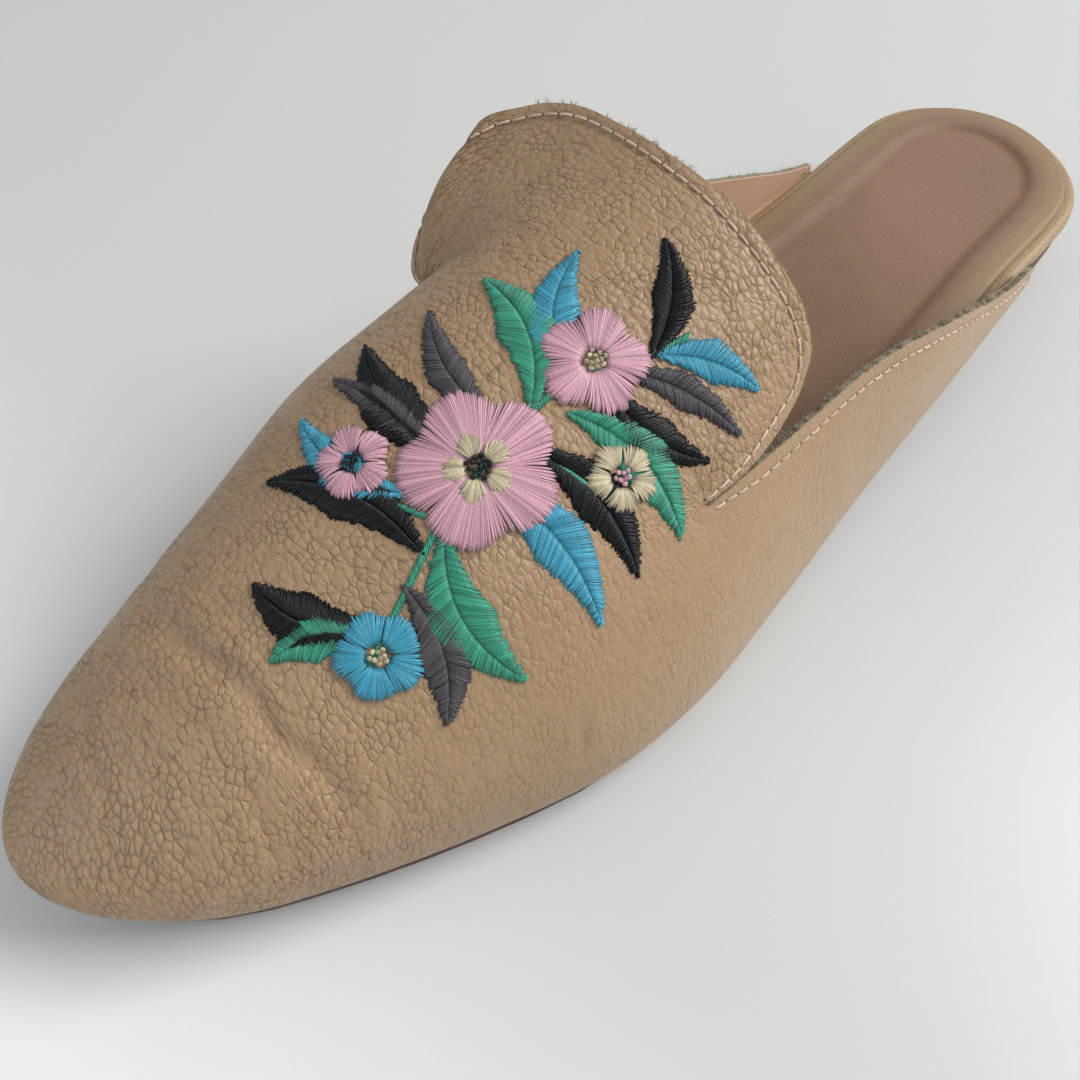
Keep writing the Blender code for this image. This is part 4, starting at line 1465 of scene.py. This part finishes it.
sock_low = raised(footbed_top, GAP * 0.3)
sock_profile = [(0.0, sock_low), (0.0, raised(sock_low, 0.6)), (0.12, raised(sock_low, 0.95))]
sock_profile.append((0.5, raised(footbed_top, GAP + SOCK)))
sock_rows = plate_rows(SOCK_INSET, SOCK_TOE, 34, 130)
sock = build_plate("sock_lining_worn", sock_leather(), sock_rows, sock_plan, sock_profile, dish, 64)
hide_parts("sock_lining")

# CAD nodes that stay, with finished materials
ROUND_LIMIT = math.radians(35.0)


def shade_round(mesh):
    """Shades facets that meet below the limit as one round face. Each CAD face has its own vertices."""
    places = [tuple(round(c, 6) for c in v.co) for v in mesh.vertices]
    around = {}
    for face in mesh.polygons:
        for i in face.vertices:
            around.setdefault(places[i], []).append((face.normal.copy(), face.area))
    normals = []
    for face in mesh.polygons:
        for i in face.vertices:
            total = Vector((0.0, 0.0, 0.0))
            for normal, area in around[places[i]]:
                if area > 0.0 and normal.angle(face.normal, math.pi) < ROUND_LIMIT:
                    total += normal * area
            normals.append(total.normalized() if total.length > 0.0 else face.normal.copy())
    mesh.polygons.foreach_set("use_smooth", np.full(len(mesh.polygons), True))
    mesh.normals_split_custom_set(normals)


finishes = {"outsole": sole_leather(), "heel_block": heel_layers(), "heel_top_piece": heel_rubber()}
for node, mat in finishes.items():
    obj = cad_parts[node]
    shade_round(obj.data)
    obj.data.materials.clear()
    obj.data.materials.append(mat)


# ---------------------------------------------------------------- floor, light, camera

floor_graph = Graph("white_table", (0.8, 0.8, 0.79))
floor_graph.bump(floor_graph.noise(9.0, 4.0), 0.0004)
floor_colour = floor_graph.mix(floor_graph.noise(5.0, 3.0), (0.600, 0.605, 0.592), (0.630, 0.635, 0.622))
# painted light: the table top grows lighter towards the front, ahead of the toe
painted_light_ramp = floor_graph.vector("MULTIPLY", floor_graph.coords, (0.0, -3.0, 0.0))
floor_colour = floor_graph.mix(floor_graph.band(painted_light_ramp, 0.06, 0.17), floor_colour, (0.86, 0.87, 0.85))
floor_material = floor_graph.finish(floor_colour, 0.32, specular=0.5)
bpy.ops.mesh.primitive_plane_add(size=8.0, location=(0.0, 0.0, -0.0002))
floor = bpy.context.object
floor.name = "table_top"
floor.data.materials.append(floor_material)

world = bpy.data.worlds.new("soft_studio")
bpy.context.scene.world = world
world.use_nodes = True
background = world.node_tree.nodes["Background"]
background.inputs["Color"].default_value = (0.93, 0.96, 1.0, 1.0)
background.inputs["Strength"].default_value = 0.40


def softbox(name, place, target, size, power, colour):
    data = bpy.data.lights.new(name, "AREA")
    data.shape = "RECTANGLE"
    data.size = size[0]
    data.size_y = size[1]
    data.energy = power
    data.color = colour
    lamp = bpy.data.objects.new(name, data)
    lamp.location = place
    lamp.rotation_mode = "QUATERNION"
    lamp.rotation_quaternion = (Vector(target) - Vector(place)).to_track_quat("-Z", "Y")
    bpy.context.scene.collection.objects.link(lamp)


softbox("key_window", (0.66, 0.90, 1.00), (0.0, -0.02, 0.03), (0.9, 0.9), 24.5, (1.0, 0.985, 0.96))
softbox("fill_front", (-0.10, -0.60, 0.40), (-0.06, -0.16, 0.0), (0.6, 0.4), 0.9, (0.97, 0.985, 1.0))

# Rounded result of a fit to the shoe's outline: pitch down, heading from +Y towards -X, roll
CAMERA_PLACE = (0.08099, -0.11820, 0.16695)
PITCH = math.radians(53.68)
HEADING = math.radians(44.52)
ROLL = math.radians(0.98)
ahead = Vector((-math.sin(HEADING), math.cos(HEADING), 0.0))
right = Vector((math.cos(HEADING), math.sin(HEADING), 0.0))
down = Vector((0.0, 0.0, 1.0))
looking = ahead * math.cos(PITCH) - down * math.sin(PITCH)
upward = ahead * math.sin(PITCH) + down * math.cos(PITCH)
rolled = upward * math.cos(ROLL) - right * math.sin(ROLL)
right = right * math.cos(ROLL) + upward * math.sin(ROLL)
lens = bpy.data.cameras.new("camera")
lens.sensor_width = 36.0
lens.lens = 34.63
lens.clip_start = 0.005
camera = bpy.data.objects.new("camera", lens)
turned = Matrix((right, rolled, -looking)).transposed().to_4x4()
camera.matrix_world = Matrix.Translation(CAMERA_PLACE) @ turned
bpy.context.scene.collection.objects.link(camera)
bpy.context.scene.camera = camera
bpy.context.scene.view_settings.view_transform = "Standard"
